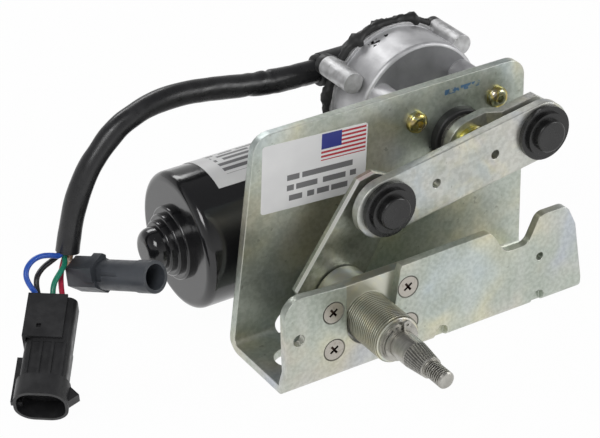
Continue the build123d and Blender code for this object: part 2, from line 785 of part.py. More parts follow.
def make_link_bushings():
    """Two black bushings: stepped cap in front, neck in the link, collar behind."""
    rear = ARM_FRONT - GAP
    for name, place in {"crank_bushing": CRANK_PIN, "lever_bushing": LEVER_PIN}.items():
        with BuildPart() as bushing:
            levels = (LINK_FRONT,) + CAP_STEPS
            for radius, start, end in zip(CAP_RADII, levels, levels[1:]):
                extrude(round_face(front(start), place, radius), amount=start - end)
            extrude(round_face(front(LINK_FRONT), place, SNAP_RADIUS), amount=-BAR)
            extrude(round_face(front(LINK_REAR), place, COLLAR_RADIUS), amount=LINK_REAR - rear)
            edges = bushing.edges().filter_by(GeomType.CIRCLE).group_by(Axis.Y)
            fillet(edges[0], 0.9)
            extrude(
                round_face(front(rear + 1), place, PIN_RADIUS + RUNNING),
                amount=rear + 1 - CAP_BORE_FRONT,
                mode=Mode.SUBTRACT,
            )
        save(bushing, name)


def make_link_pin():
    """Pin in the link's left bushing; it ends a small gap short of the lever."""
    with BuildPart() as link_pin:
        extrude(
            round_face(front(CAP_BORE_FRONT), LEVER_PIN, PIN_RADIUS + RUNNING),
            amount=-(ARM_FRONT - GAP - CAP_BORE_FRONT),
        )
    save(link_pin, "link_pin")


# ================================================================ crank
def make_crank_arm():
    """Flat bar bent forwards between the output shaft and the crank pin."""
    tip = CRANK_THROW + ARM_OVERHANG
    width = ARM_HALF_WIDTH
    slope = radians(PARK_ANGLE)
    profile_plane = Plane(
        origin=(HUB_X, 0, HUB_Z),
        x_dir=(cos(slope), 0, sin(slope)),
        z_dir=(-sin(slope), 0, cos(slope)),
    )
    with BuildPart() as crank_arm:
        with BuildSketch(profile_plane):
            with BuildLine():
                Polyline(
                    (-width - 2, HUB_ARM_FRONT),
                    (JOGGLE_START, HUB_ARM_FRONT),
                    (JOGGLE_END, ARM_FRONT),
                    (tip + 2, ARM_FRONT),
                    (tip + 2, ARM_REAR),
                    (JOGGLE_END + 1, ARM_REAR),
                    (JOGGLE_START + 1, HUB_ARM_REAR),
                    (-width - 2, HUB_ARM_REAR),
                    close=True,
                )
            make_face()
        extrude(amount=2 * width, both=True)
        with BuildSketch(along_bar(ARM_FRONT - 2)):
            Circle(width)
            with BuildLine():
                Polyline(
                    (0, -width),
                    (tip - LEVER_CORNER, -width),
                    (tip, -width + LEVER_CORNER),
                    (tip, width - LEVER_CORNER),
                    (tip - LEVER_CORNER, width),
                    (0, width),
                    close=True,
                )
            make_face()
        extrude(amount=-(HUB_ARM_REAR - ARM_FRONT + 4), mode=Mode.INTERSECT)
        extrude(
            round_face(front(ARM_FRONT), HUB, SHAFT_RADIUS),
            amount=-(HUB_ARM_REAR - ARM_FRONT + 1),
            mode=Mode.SUBTRACT,
        )
        extrude(
            round_face(front(ARM_FRONT - 1), CRANK_PIN, PIN_RADIUS),
            amount=-(BAR + 2),
            mode=Mode.SUBTRACT,
        )
    save(crank_arm, "crank_arm")


def make_crank_pin():
    """Pin riveted in the arm's end, running in the link's right bushing."""
    with BuildPart() as crank_pin:
        extrude(
            round_face(front(CAP_BORE_FRONT + GAP), CRANK_PIN, PIN_RADIUS),
            amount=-(ARM_REAR - CAP_BORE_FRONT - GAP),
        )
        extrude(round_face(front(ARM_REAR), CRANK_PIN, PIN_RADIUS + 1.8), amount=-1.6)
    save(crank_pin, "crank_pin")


def make_output_shaft():
    """Output shaft: thread for the nut, seat of the arm and journal to the wheel."""
    rear = WHEEL_FRONT + WHEEL_WIDTH + 4
    with BuildPart() as output_shaft:
        extrude(
            round_face(front(HUB_ARM_FRONT), HUB, SHAFT_RADIUS),
            amount=-(rear - HUB_ARM_FRONT),
        )
        extrude(
            round_face(front(HUB_ARM_FRONT), HUB, SHAFT_THREAD_RADIUS),
            amount=HUB_ARM_FRONT - SHAFT_FRONT,
        )
        end = output_shaft.edges().filter_by(GeomType.CIRCLE).sort_by(Axis.Y)[0]
        chamfer(end, 0.8)
    save(output_shaft, "output_shaft")


def make_crank_nut():
    """Hexagon nut with a wide flange that clamps the arm."""
    with BuildPart() as crank_nut:
        extrude(
            ring_face(front(HUB_ARM_FRONT), HUB, NUT_FLANGE_RADIUS, SHAFT_THREAD_RADIUS),
            amount=NUT_FLANGE_THICKNESS,
        )
        rim = crank_nut.edges().filter_by(GeomType.CIRCLE).group_by(Axis.Y)[0].sort_by(
            SortBy.RADIUS
        )[-1]
        chamfer(rim, 0.7)
        with BuildSketch(front(HUB_ARM_FRONT - NUT_FLANGE_THICKNESS)):
            with Locations(HUB):
                RegularPolygon(NUT_ACROSS_FLATS / 2, 6, major_radius=False, rotation=20)
                Circle(SHAFT_THREAD_RADIUS, mode=Mode.SUBTRACT)
        extrude(amount=HUB_ARM_FRONT - NUT_FLANGE_THICKNESS - NUT_FRONT)
    save(crank_nut, "crank_nut")


def make_worm_wheel():
    """Moulded wheel with straight teeth, pressed on the output shaft."""
    root = WHEEL_TIP_RADIUS - TOOTH_DEPTH
    half_tooth = pi * root / WHEEL_TEETH / 2
    with BuildPart() as worm_wheel:
        with BuildSketch(front(WHEEL_FRONT)):
            with Locations(HUB):
                Circle(root)
                with PolarLocations(0, WHEEL_TEETH):
                    Polygon(
                        (root - 1, -half_tooth * 1.2),
                        (WHEEL_TIP_RADIUS, -half_tooth * 0.7),
                        (WHEEL_TIP_RADIUS, half_tooth * 0.7),
                        (root - 1, half_tooth * 1.2),
                        align=None,
                    )
                Circle(SHAFT_RADIUS, mode=Mode.SUBTRACT)
        extrude(amount=-WHEEL_WIDTH)
        extrude(
            ring_face(front(WHEEL_FRONT), HUB, root - 3, SHAFT_RADIUS + 4),
            amount=-2.0,
            mode=Mode.SUBTRACT,
        )
    save(worm_wheel, "worm_wheel")


def make_park_disc():
    """Brass contact disc on the wheel's back, with a notch that stops the motor in park."""
    with BuildPart() as park_disc:
        with BuildSketch(front(WHEEL_FRONT + WHEEL_WIDTH)):
            with Locations(HUB):
                Circle(PARK_DISC_RADIUS)
                Circle(SHAFT_RADIUS + 1, mode=Mode.SUBTRACT)
            with Locations((HUB_X, HUB_Z + PARK_DISC_RADIUS - 2)):
                Rectangle(7, 6, mode=Mode.SUBTRACT)
        extrude(amount=-PARK_DISC_THICKNESS)
    save(park_disc, "park_disc")


# ================================================================ gearbox
def rim_face(plane, radius, hole, ear_hole):
    """Round rim with ears for the cover screws."""
    with BuildSketch(plane, mode=Mode.PRIVATE) as face:
        with Locations(HUB):
            Circle(radius)
        with Locations(*EARS):
            Circle(EAR_RADIUS)
        for x, z in EARS:
            reach = hypot(x - HUB_X, z - HUB_Z)
            angle = degrees(atan2(z - HUB_Z, x - HUB_X))
            with Locations(((HUB_X + x) / 2, (HUB_Z + z) / 2)):
                Rectangle(reach, 2 * EAR_RADIUS, rotation=angle)
        with Locations(HUB):
            Circle(hole, mode=Mode.SUBTRACT)
        if ear_hole:
            with Locations(*EARS):
                Circle(ear_hole, mode=Mode.SUBTRACT)
    return face.sketch


def make_gear_housing():
    """Die-cast drum with front boss, pillars, screw bosses, worm tunnel and motor flange."""
    flange_left = CAN_RIGHT
    with BuildPart() as gear_housing:
        extrude(round_face(front(BOX_FRONT), HUB, BOX_RADIUS), amount=-(BOX_REAR - BOX_FRONT))
        rim = gear_housing.edges().filter_by(GeomType.CIRCLE).sort_by(Axis.Y)[0]
        fillet(rim, BOX_ROUND)
        # tunnel of the worm, with a flange and spigot for the motor can
        extrude(
            round_face(side(flange_left), MOTOR_AXIS, TUNNEL_RADIUS),
            amount=TUNNEL_RIGHT - flange_left,
        )
        extrude(
            round_face(side(flange_left), MOTOR_AXIS, CAN_RADIUS - 0.6),
            amount=MOTOR_FLANGE,
        )
        extrude(
            round_face(side(flange_left - SPIGOT), MOTOR_AXIS, CAN_INSIDE - 0.1),
            amount=SPIGOT,
        )
        for ear in CAN_EARS:
            extrude(round_face(side(flange_left), ear, CAN_EAR_RADIUS), amount=MOTOR_FLANGE)
        # web between the tunnel and the drum
        with BuildSketch(front(MOTOR_Y - TUNNEL_RADIUS + 3)):
            with Locations((HUB_X, (HUB_Z + MOTOR_Z) / 2 - 6)):
                Rectangle(2 * BOX_RADIUS - 14, HUB_Z - MOTOR_Z - 12)
        extrude(amount=-(2 * TUNNEL_RADIUS - 6))
        # rear rim and screw bosses
        extrude(
            rim_face(front(BOX_REAR - RIM_THICKNESS), RIM_RADIUS, SHAFT_RADIUS, 0),
            amount=-RIM_THICKNESS,
        )
        for ear in EARS:
            extrude(
                round_face(front(BOX_FRONT + EAR_FRONT), ear, EAR_RADIUS),
                amount=-(BOX_REAR - BOX_FRONT - EAR_FRONT),
            )
            web = (0.87 * ear[0] + 0.13 * HUB_X, 0.87 * ear[1] + 0.13 * HUB_Z)
            extrude(
                round_face(front(BOX_FRONT + 2 * EAR_FRONT), web, EAR_RADIUS - 0.8),
                amount=-(BOX_REAR - BOX_FRONT - 2 * EAR_FRONT),
            )
        # front boss through the plate, and the three pillars behind the plate
        extrude(
            round_face(front(BOX_FRONT), HUB, FRONT_BOSS_RADIUS),
            amount=BOX_FRONT - FRONT_BOSS_END,
        )
        for place in MOUNT_SCREWS:
            extrude(round_face(front(BOX_FRONT), place, PILLAR_RADIUS), amount=BOX_FRONT - PLATE_REAR)
        # room for the wheel, the worm and the shafts
        extrude(
            round_face(front(BOX_FRONT + BOX_FLOOR), HUB, BOX_INSIDE),
            amount=-(BOX_REAR - BOX_FRONT),
            mode=Mode.SUBTRACT,
        )
        extrude(
            round_face(side(flange_left - SPIGOT - 1), MOTOR_AXIS, TUNNEL_INSIDE),
            amount=TUNNEL_RIGHT - flange_left + SPIGOT + 1 - TUNNEL_WALL,
            mode=Mode.SUBTRACT,
        )
        extrude(
            round_face(front(FRONT_BOSS_END - 1), HUB, SHAFT_RADIUS + SLEEVE_WALL),
            amount=-(BOX_FRONT + BOX_FLOOR - FRONT_BOSS_END + 2),
            mode=Mode.SUBTRACT,
        )
        for place in MOUNT_SCREWS:
            extrude(
                round_face(front(PLATE_REAR), place, MOUNT_SCREW_RADIUS),
                amount=-16,
                mode=Mode.SUBTRACT,
            )
        for ear in EARS:
            extrude(
                round_face(front(BOX_REAR + 1), ear, COVER_SCREW_RADIUS),
                amount=13,
                mode=Mode.SUBTRACT,
            )
        for ear in CAN_EARS:
            extrude(
                round_face(side(flange_left - 1), ear, COVER_SCREW_RADIUS),
                amount=MOTOR_FLANGE + 2,
                mode=Mode.SUBTRACT,
            )
    save(gear_housing, "gear_housing")


def make_gasket():
    """Flat gasket between the drum and its cover."""
    with BuildPart() as gasket:
        extrude(
            rim_face(front(BOX_REAR), GASKET_RADIUS, BOX_INSIDE, COVER_SCREW_RADIUS + 0.2),
            amount=-GASKET_THICKNESS,
        )
    save(gasket, "gasket")


def make_gear_cover():
    """Pressed cover: flat rim with ears, domed middle, nozzle for the harness, card posts."""
    inside = DOME_RADIUS - COVER_WALL
    nozzle = (EXIT_Y, EXIT_Z)
    with BuildPart() as gear_cover:
        extrude(
            rim_face(front(COVER_FRONT), COVER_RADIUS, inside, COVER_SCREW_RADIUS + SCREW_CLEARANCE),
            amount=-COVER_PLATE,
        )
        extrude(round_face(front(COVER_FRONT), HUB, DOME_RADIUS), amount=-COVER_DEPTH)
        rim = gear_cover.edges().filter_by(GeomType.CIRCLE).sort_by(Axis.Y)[-1]
        fillet(rim, 3.0)
        extrude(
            round_face(side(NOZZLE_LEFT), nozzle, NOZZLE_RADIUS),
            amount=HUB_X - DOME_RADIUS / 2 - NOZZLE_LEFT,
        )
        extrude(
            round_face(front(COVER_FRONT - 1), HUB, inside),
            amount=-(COVER_DEPTH + 1 - COVER_WALL),
            mode=Mode.SUBTRACT,
        )
        extrude(
            round_face(side(NOZZLE_LEFT - 1), nozzle, SHEATH_DIAMETER / 2 + GROMMET_WALL),
            amount=DOME_RADIUS,
            mode=Mode.SUBTRACT,
        )
        for x in (-CARD_POST, CARD_POST):
            extrude(
                round_face(front(CARD_REAR), (HUB_X + x, HUB_Z), 2.5),
                amount=-(COVER_REAR - COVER_WALL - CARD_REAR + 0.5),
            )
    save(gear_cover, "gear_cover")


def make_cover_screws():
    """Pan-head screws through the cover's ears."""
    with BuildPart() as cover_screws:
        for ear in EARS:
            extrude(round_face(front(COVER_FRONT + 2), ear, 3.2), amount=-2.0)
            extrude(
                round_face(front(COVER_FRONT + 2), ear, COVER_SCREW_RADIUS),
                amount=GASKET_THICKNESS + 2 + 10,
            )
            extrude(round_face(front(COVER_FRONT + 5), ear, 1.4), amount=2.2, mode=Mode.SUBTRACT)
    save(cover_screws, "cover_screws")


def make_mount_screws():
    """Three button-head screws with a hexagon socket that hold the gearbox to the plate."""
    with BuildPart() as mount_screws:
        for place in MOUNT_SCREWS:
            extrude(
                round_face(front(PLATE_FRONT), place, MOUNT_HEAD_RADIUS),
                amount=MOUNT_HEAD_HEIGHT,
            )
        heads = mount_screws.edges().filter_by(GeomType.CIRCLE).group_by(Axis.Y)[0]
        fillet(heads, 2.6)
        for place in MOUNT_SCREWS:
            extrude(
                round_face(front(PLATE_FRONT), place, MOUNT_SCREW_RADIUS),
                amount=-(SHEET + 14),
            )
        for place in MOUNT_SCREWS:
            with BuildSketch(front(PLATE_FRONT - MOUNT_HEAD_HEIGHT - 1)):
                with Locations(place):
                    RegularPolygon(2.0, 6)
            extrude(amount=-3.2, mode=Mode.SUBTRACT)
    save(mount_screws, "mount_screws")


def make_output_sleeve():
    """Bronze bearing of the output shaft in the front boss."""
    with BuildPart() as output_sleeve:
        extrude(
            ring_face(
                front(FRONT_BOSS_END), HUB, SHAFT_RADIUS + SLEEVE_WALL, SHAFT_RADIUS + RUNNING
            ),
            amount=-(BOX_FRONT + BOX_FLOOR - FRONT_BOSS_END),
        )
    save(output_sleeve, "output_sleeve")


def make_shaft_seal():
    """Black rubber ring on the front boss, against the plate."""
    with BuildPart() as shaft_seal:
        extrude(
            ring_face(front(PLATE_FRONT), HUB, SEAL_RADIUS, FRONT_BOSS_RADIUS),
            amount=PLATE_FRONT - SEAL_FRONT,
        )
        rim = shaft_seal.edges().filter_by(GeomType.CIRCLE).group_by(Axis.Y)[0]
        fillet(rim.sort_by(SortBy.RADIUS)[-1], 1.2)
    save(shaft_seal, "shaft_seal")


def make_thrust_washer():
    """Steel washer between the crank arm and the front boss."""
    with BuildPart() as thrust_washer:
        extrude(
            ring_face(front(HUB_ARM_REAR), HUB, FRONT_BOSS_RADIUS - 0.4, SHAFT_RADIUS),
            amount=-(FRONT_BOSS_END - HUB_ARM_REAR - 0.3),
        )
    save(thrust_washer, "thrust_washer")


# ---------------------------------------------------------------- park switch
CARD_FRONT = COVER_FRONT + 6.0
CARD_THICKNESS = 1.6
CARD_REAR = CARD_FRONT + CARD_THICKNESS
CARD_RADIUS = 21.5
CARD_POST = 17.0
FINGER_WIDTH = 3.0
FINGER_THICKNESS = 0.5
DISC_REAR = WHEEL_FRONT + WHEEL_WIDTH + PARK_DISC_THICKNESS


def make_contact_card():
    """Round insulating card in the cover that carries the contact fingers."""
    with BuildPart() as contact_card:
        extrude(ring_face(front(CARD_FRONT), HUB, CARD_RADIUS, 7.0), amount=-CARD_THICKNESS)
    save(contact_card, "contact_card")


def make_contact_fingers():
    """Three spring fingers that reach from the card to the park disc."""
    with BuildPart() as contact_fingers:
        for radius in (9.0, 13.0, 17.0):
            z = HUB_Z - radius
            with BuildSketch(side(HUB_X - 9)):
                with Locations(((DISC_REAR + 0.3 + CARD_FRONT) / 2, z)):
                    Rectangle(CARD_FRONT - DISC_REAR - 0.3, FINGER_WIDTH)
            extrude(amount=FINGER_THICKNESS)
            with BuildSketch(front(CARD_FRONT)):
                with Locations((HUB_X - 9 + 3.0, z)):
                    Rectangle(6.0, FINGER_WIDTH)
            extrude(amount=FINGER_THICKNESS)
    save(contact_fingers, "contact_fingers")


# ================================================================ motor
def make_motor_can():
    """Drawn steel can with a rounded end, a stepped nose and two ears at its mouth."""
    with BuildPart() as motor_can:
        extrude(
            round_face(side(CAN_LEFT), MOTOR_AXIS, CAN_RADIUS),
            amount=CAN_RIGHT - CAN_LEFT,
        )
        fillet(motor_can.edges().filter_by(GeomType.CIRCLE).sort_by(Axis.X)[0], CAN_EDGE)
        levels = (CAN_LEFT,) + NOSE_STEPS
        for radius, start, end in zip(NOSE_RADII, levels, levels[1:]):
            extrude(round_face(side(start), MOTOR_AXIS, radius), amount=-(start - end))
            fillet(motor_can.edges().filter_by(GeomType.CIRCLE).sort_by(Axis.X)[0], NOSE_ROUND)
        extrude(
            round_face(side(NOSE_STEPS[-1]), MOTOR_AXIS, NOSE_TIP_RADIUS),
            amount=NOSE_TIP - NOSE_STEPS[-1],
        )
        fillet(motor_can.edges().filter_by(GeomType.CIRCLE).sort_by(Axis.X)[0], NOSE_TIP_ROUND)
        for ear in CAN_EARS:
            extrude(round_face(side(CAN_RIGHT), ear, CAN_EAR_RADIUS), amount=-CAN_WALL)
        extrude(
            round_face(side(CAN_LEFT + CAN_WALL), MOTOR_AXIS, CAN_INSIDE - 3.0),
            amount=CAN_RIGHT - CAN_LEFT,
            mode=Mode.SUBTRACT,
        )
        extrude(
            round_face(side(CAN_LEFT + CAN_EDGE), MOTOR_AXIS, CAN_INSIDE),
            amount=CAN_RIGHT - CAN_LEFT,
            mode=Mode.SUBTRACT,
        )
        extrude(
            round_face(side(CAN_LEFT + CAN_WALL + 1), MOTOR_AXIS, REAR_BEARING_RADIUS),
            amount=-(CAN_WALL + 1 + REAR_BEARING_WIDTH),
            mode=Mode.SUBTRACT,
        )
        for ear in CAN_EARS:
            extrude(
                round_face(side(CAN_RIGHT + 1), ear, COVER_SCREW_RADIUS + SCREW_CLEARANCE),
                amount=-(CAN_WALL + 2),
                mode=Mode.SUBTRACT,
            )
    save(motor_can, "motor_can")


REAR_BEARING_RADIUS = 8.0
REAR_BEARING_WIDTH = 7.0
REAR_BEARING_RIGHT = CAN_LEFT


def make_can_screws():
    """Two screws that clamp the can's ears to the gearbox."""
    with BuildPart() as can_screws:
        for ear in CAN_EARS:
            left = CAN_RIGHT - CAN_WALL
            extrude(round_face(side(left), ear, 3.6), amount=-2.6)
            extrude(round_face(side(left), ear, COVER_SCREW_RADIUS), amount=CAN_WALL + 3.5)
            extrude(round_face(side(left - 3.6), ear, 1.4), amount=2.0, mode=Mode.SUBTRACT)
    save(can_screws, "can_screws")


def make_bearings():
    """Rear bearing in the can's nose and front bearing in the tunnel's mouth."""
    shaft_hole = ARMATURE_SHAFT_RADIUS + RUNNING
    with BuildPart() as rear_bearing:
        extrude(
            ring_face(side(REAR_BEARING_RIGHT), MOTOR_AXIS, REAR_BEARING_RADIUS, shaft_hole),
            amount=-REAR_BEARING_WIDTH,
        )
    save(rear_bearing, "rear_bearing")
    with BuildPart() as front_bearing:
        extrude(
            ring_face(side(CAN_RIGHT - SPIGOT), MOTOR_AXIS, TUNNEL_INSIDE, shaft_hole),
            amount=8.0,
        )
    save(front_bearing, "front_bearing")


def make_magnets():
    """Two ferrite arcs against the can's wall."""
    with BuildPart() as magnets:
        for middle in (0, 180):
            with BuildSketch(side(CORE_LEFT - 3)):
                with BuildLine():
                    outer = CAN_INSIDE - 0.1
                    inner = outer - MAGNET_THICKNESS
                    begin = middle - MAGNET_ARC / 2
                    CenterArc(MOTOR_AXIS, outer, begin, MAGNET_ARC)
                    CenterArc(MOTOR_AXIS, inner, begin, MAGNET_ARC)
                    for angle in (begin, begin + MAGNET_ARC):
                        ends = [
                            around(MOTOR_AXIS, radius, (angle,))[0] for radius in (inner, outer)
                        ]
                        Line(*ends)
                make_face()
            extrude(amount=CORE_RIGHT - CORE_LEFT + 6)
    save(magnets, "magnets")


def make_armature_shaft():
    """Armature shaft from the rear bearing to the tunnel's end, with the worm on it."""
    left = REAR_BEARING_RIGHT - REAR_BEARING_WIDTH
    right = TUNNEL_RIGHT - TUNNEL_WALL - 0.4
    with BuildPart() as armature_shaft:
        extrude(
            round_face(side(left + 0.4), MOTOR_AXIS, ARMATURE_SHAFT_RADIUS),
            amount=right - left - 0.4,
        )
        extrude(
            round_face(side(HUB_X - WORM_LENGTH / 2), MOTOR_AXIS, WORM_ROOT_RADIUS),
            amount=WORM_LENGTH,
        )
        for turn in range(int(WORM_LENGTH / WORM_PITCH)):
            start = HUB_X - WORM_LENGTH / 2 + turn * WORM_PITCH + 0.8
            with BuildSketch(side(start)):
                with Locations(MOTOR_AXIS):
                    Circle(WORM_ROOT_RADIUS)
            with BuildSketch(side(start + 0.9)):
                with Locations(MOTOR_AXIS):
                    Circle(WORM_RADIUS)
            loft()
            with BuildSketch(side(start + 0.9)):
                with Locations(MOTOR_AXIS):
                    Circle(WORM_RADIUS)
            with BuildSketch(side(start + 1.8)):
                with Locations(MOTOR_AXIS):
                    Circle(WORM_ROOT_RADIUS)
            loft()
    save(armature_shaft, "armature_shaft")


def make_rotor_core():
    """Laminated rotor core with slots for the windings."""
    with BuildPart() as rotor_core:
        with BuildSketch(side(CORE_LEFT)):
            with Locations(MOTOR_AXIS):
                Circle(CORE_RADIUS)
                Circle(ARMATURE_SHAFT_RADIUS, mode=Mode.SUBTRACT)
                with PolarLocations(CORE_RADIUS - 4.0, CORE_SLOTS):
                    SlotOverall(7.0, 3.2, mode=Mode.SUBTRACT)
                with PolarLocations(CORE_RADIUS, CORE_SLOTS):
                    Rectangle(4.0, 1.4, mode=Mode.SUBTRACT)
        extrude(amount=CORE_RIGHT - CORE_LEFT)
    save(rotor_core, "rotor_core")


def make_windings():
    """Copper end turns on both sides of the core."""
    with BuildPart() as windings:
        for start in (CORE_LEFT - 5.5, CORE_RIGHT):
            extrude(
                ring_face(side(start), MOTOR_AXIS, CORE_RADIUS - 1.5, ARMATURE_SHAFT_RADIUS + 2),
                amount=5.5,
            )
        ends = windings.edges().filter_by(GeomType.CIRCLE).filter_by(
            lambda e: e.radius > CORE_RADIUS - 2
        )
        fillet(ends.group_by(Axis.X)[0], 2.0)
        fillet(ends.group_by(Axis.X)[-1], 2.0)
    save(windings, "windings")


def make_commutator():
    """Copper commutator with segment gaps."""
    with BuildPart() as commutator:
        with BuildSketch(side(CORE_RIGHT + 5.5)):
            with Locations(MOTOR_AXIS):
                Circle(COMMUTATOR_RADIUS)
                Circle(ARMATURE_SHAFT_RADIUS, mode=Mode.SUBTRACT)
                with PolarLocations(COMMUTATOR_RADIUS, CORE_SLOTS):
                    Rectangle(1.6, 0.6, mode=Mode.SUBTRACT)
        extrude(amount=COMMUTATOR_RIGHT - CORE_RIGHT - 5.5)
    save(commutator, "commutator")


def make_brush_gear():
    """Ring-shaped card on the spigot, with two holders, brushes and springs."""
    left = COMMUTATOR_RIGHT + 1.5
    brush_in = COMMUTATOR_RADIUS + 0.3
    brush_out = brush_in + 9.0
    with BuildPart() as brush_card:
        extrude(
            ring_face(side(left), MOTOR_AXIS, CAN_INSIDE - 0.3, COMMUTATOR_RADIUS + 2),
            amount=CAN_RIGHT - SPIGOT - left,
        )
        for sign in (-1, 1):
            with BuildSketch(side(left)):
                with Locations((MOTOR_Y, MOTOR_Z + sign * (brush_in + 9))):
                    Rectangle(9.0, 14.0)
            extrude(amount=-8.0)
            with BuildSketch(side(left + 0.5)):
                with Locations((MOTOR_Y, MOTOR_Z + sign * (brush_in + 9))):
                    Rectangle(6.2, 20.0)
            extrude(amount=-7.2, mode=Mode.SUBTRACT)
    save(brush_card, "brush_card")
    with BuildPart() as brushes:
        for sign in (-1, 1):
            with BuildSketch(side(left - 1.0)):
                with Locations((MOTOR_Y, MOTOR_Z + sign * (brush_in + brush_out) / 2)):
                    Rectangle(6.0, brush_out - brush_in)
            extrude(amount=-5.5)
    save(brushes, "brushes")
    with BuildPart() as brush_springs:
        for sign in (-1, 1):
            for turn in range(4):
                low = brush_out + turn * 1.7
                with BuildSketch(Plane.XY.offset(MOTOR_Z + sign * low)):
                    with Locations((left - 3.75, MOTOR_Y)):
                        Circle(2.4)
                        Circle(1.6, mode=Mode.SUBTRACT)
                extrude(amount=sign * 0.9)
            with BuildSketch(Plane.XY.offset(MOTOR_Z + sign * brush_out)):
                with Locations((left - 3.75 - 2.0, MOTOR_Y)):
                    Rectangle(0.6, 0.9)
            extrude(amount=sign * (3 * 1.7 + 0.9))
    save(brush_springs, "brush_springs")


# ================================================================ labels
def make_labels():
    """White stickers on the plate and round the top of the motor can."""
    with BuildPart() as plate_label:
        with BuildSketch(front(PLATE_FRONT)):
            with Locations(PLATE_LABEL_CENTRE):
                RectangleRounded(
                    PLATE_LABEL_WIDTH,
                    PLATE_LABEL_HEIGHT,
                    PLATE_LABEL_CORNER,
                    rotation=PLATE_LABEL_TILT,
                )
        extrude(amount=LABEL_THICKNESS)
    save(plate_label, "plate_label")
    with BuildPart() as can_label:
        with BuildSketch(side(CAN_LABEL_LEFT)):
            with BuildLine():
                inner = CAN_RADIUS + LABEL_GLUE
                outer = inner + LABEL_THICKNESS
                span = CAN_LABEL_END - CAN_LABEL_START
                CenterArc(MOTOR_AXIS, outer, CAN_LABEL_START, span)
                CenterArc(MOTOR_AXIS, inner, CAN_LABEL_START, span)
                for angle in (CAN_LABEL_START, CAN_LABEL_END):
                    ends = [
                        around(MOTOR_AXIS, radius, (angle,))[0]
                        for radius in (inner, outer)
                    ]
                    Line(*ends)
            make_face()
        extrude(amount=CAN_LABEL_LENGTH)
    save(can_label, "can_label")


# ================================================================ harness
def frame_across(origin, aim, across, distance):
    """Plane across a plug at a distance from its rear, facing its mouth."""
    flat = (across - aim * across.dot(aim)).normalized()
    return Plane(origin=origin + aim * distance, x_dir=flat, z_dir=aim)


def plug4_plane(distance):
    """Plane across the four-wire plug."""
    return frame_across(PLUG4_REAR, PLUG4_AIM, PLUG4_ACROSS, distance)


def plug1_plane(distance):
    """Plane across the one-wire plug."""
    return frame_across(PLUG1_REAR, PLUG1_AIM, PLUG1_ACROSS, distance)


def tube(route, diameter, name, bore=0.0, depth=0.0):
    """Round cord of straight runs joined by tangent arcs, with its far end bored if asked."""
    points = [Vector(*point) for point in route]
    runs = [(b - a).length for a, b in zip(points, points[1:])]
    bends = []
    for before, here, after, one, two in zip(points, points[1:], points[2:], runs, runs[1:]):
        turn = radians((here - before).get_angle(after - here))
        bends.append(0.45 * min(one, two) / tan(turn / 2))
    with BuildPart() as cord:
        with BuildLine() as path:
            FilletPolyline(*points, radius=bends)
        wire = path.wires()[0]
        with BuildSketch(Plane(origin=wire @ 0, z_dir=wire % 0)):
            Circle(diameter / 2)
        sweep(path=wire)
    share = cord.part.volume / (wire.length * pi * diameter**2 / 4)
    print(name, "length", round(wire.length, 1), "volume share", round(share, 4))
    print("   radii in diameters", [round(bend / diameter, 1) for bend in bends])
    if bore:
        with BuildPart() as open_cord:
            add(cord.part)
            with BuildSketch(Plane(origin=wire @ 1, z_dir=wire % 1)):
                Circle(bore)
            extrude(amount=-depth, mode=Mode.SUBTRACT)
        return open_cord
    return cord


def make_sheath():
    """Sheath from the cover to the plugs, open at its end round the five wires."""
    bore = SHEATH_DIAMETER / 2 - SHEATH_WALL
    sheath = tube(SHEATH_ROUTE, SHEATH_DIAMETER, "sheath", bore, WIRE_SEAT)
    save(sheath, "sheath")


def make_grommet():
    """Rubber grommet in the cover's nozzle, round the sheath."""
    hole = SHEATH_DIAMETER / 2 + GROMMET_WALL
    nozzle = (EXIT_Y, EXIT_Z)
    with BuildPart() as grommet:
        extrude(round_face(side(NOZZLE_LEFT - 3.0), nozzle, hole + 0.9), amount=3.0)
        fillet(grommet.edges().filter_by(GeomType.CIRCLE).sort_by(Axis.X)[0], 1.2)
        extrude(round_face(side(NOZZLE_LEFT), nozzle, hole), amount=GROMMET_DEPTH)
        extrude(
            round_face(side(NOZZLE_LEFT - 4.0), nozzle, SHEATH_DIAMETER / 2),
            amount=4.0 + GROMMET_DEPTH + 1.0,
            mode=Mode.SUBTRACT,
        )
    save(grommet, "grommet")


def make_wires():
    """Five wires between the sheath's open end and the plugs."""
    for name, route in WIRE_ROUTES.items():
        save(tube(route, WIRE_DIAMETER, name), name)


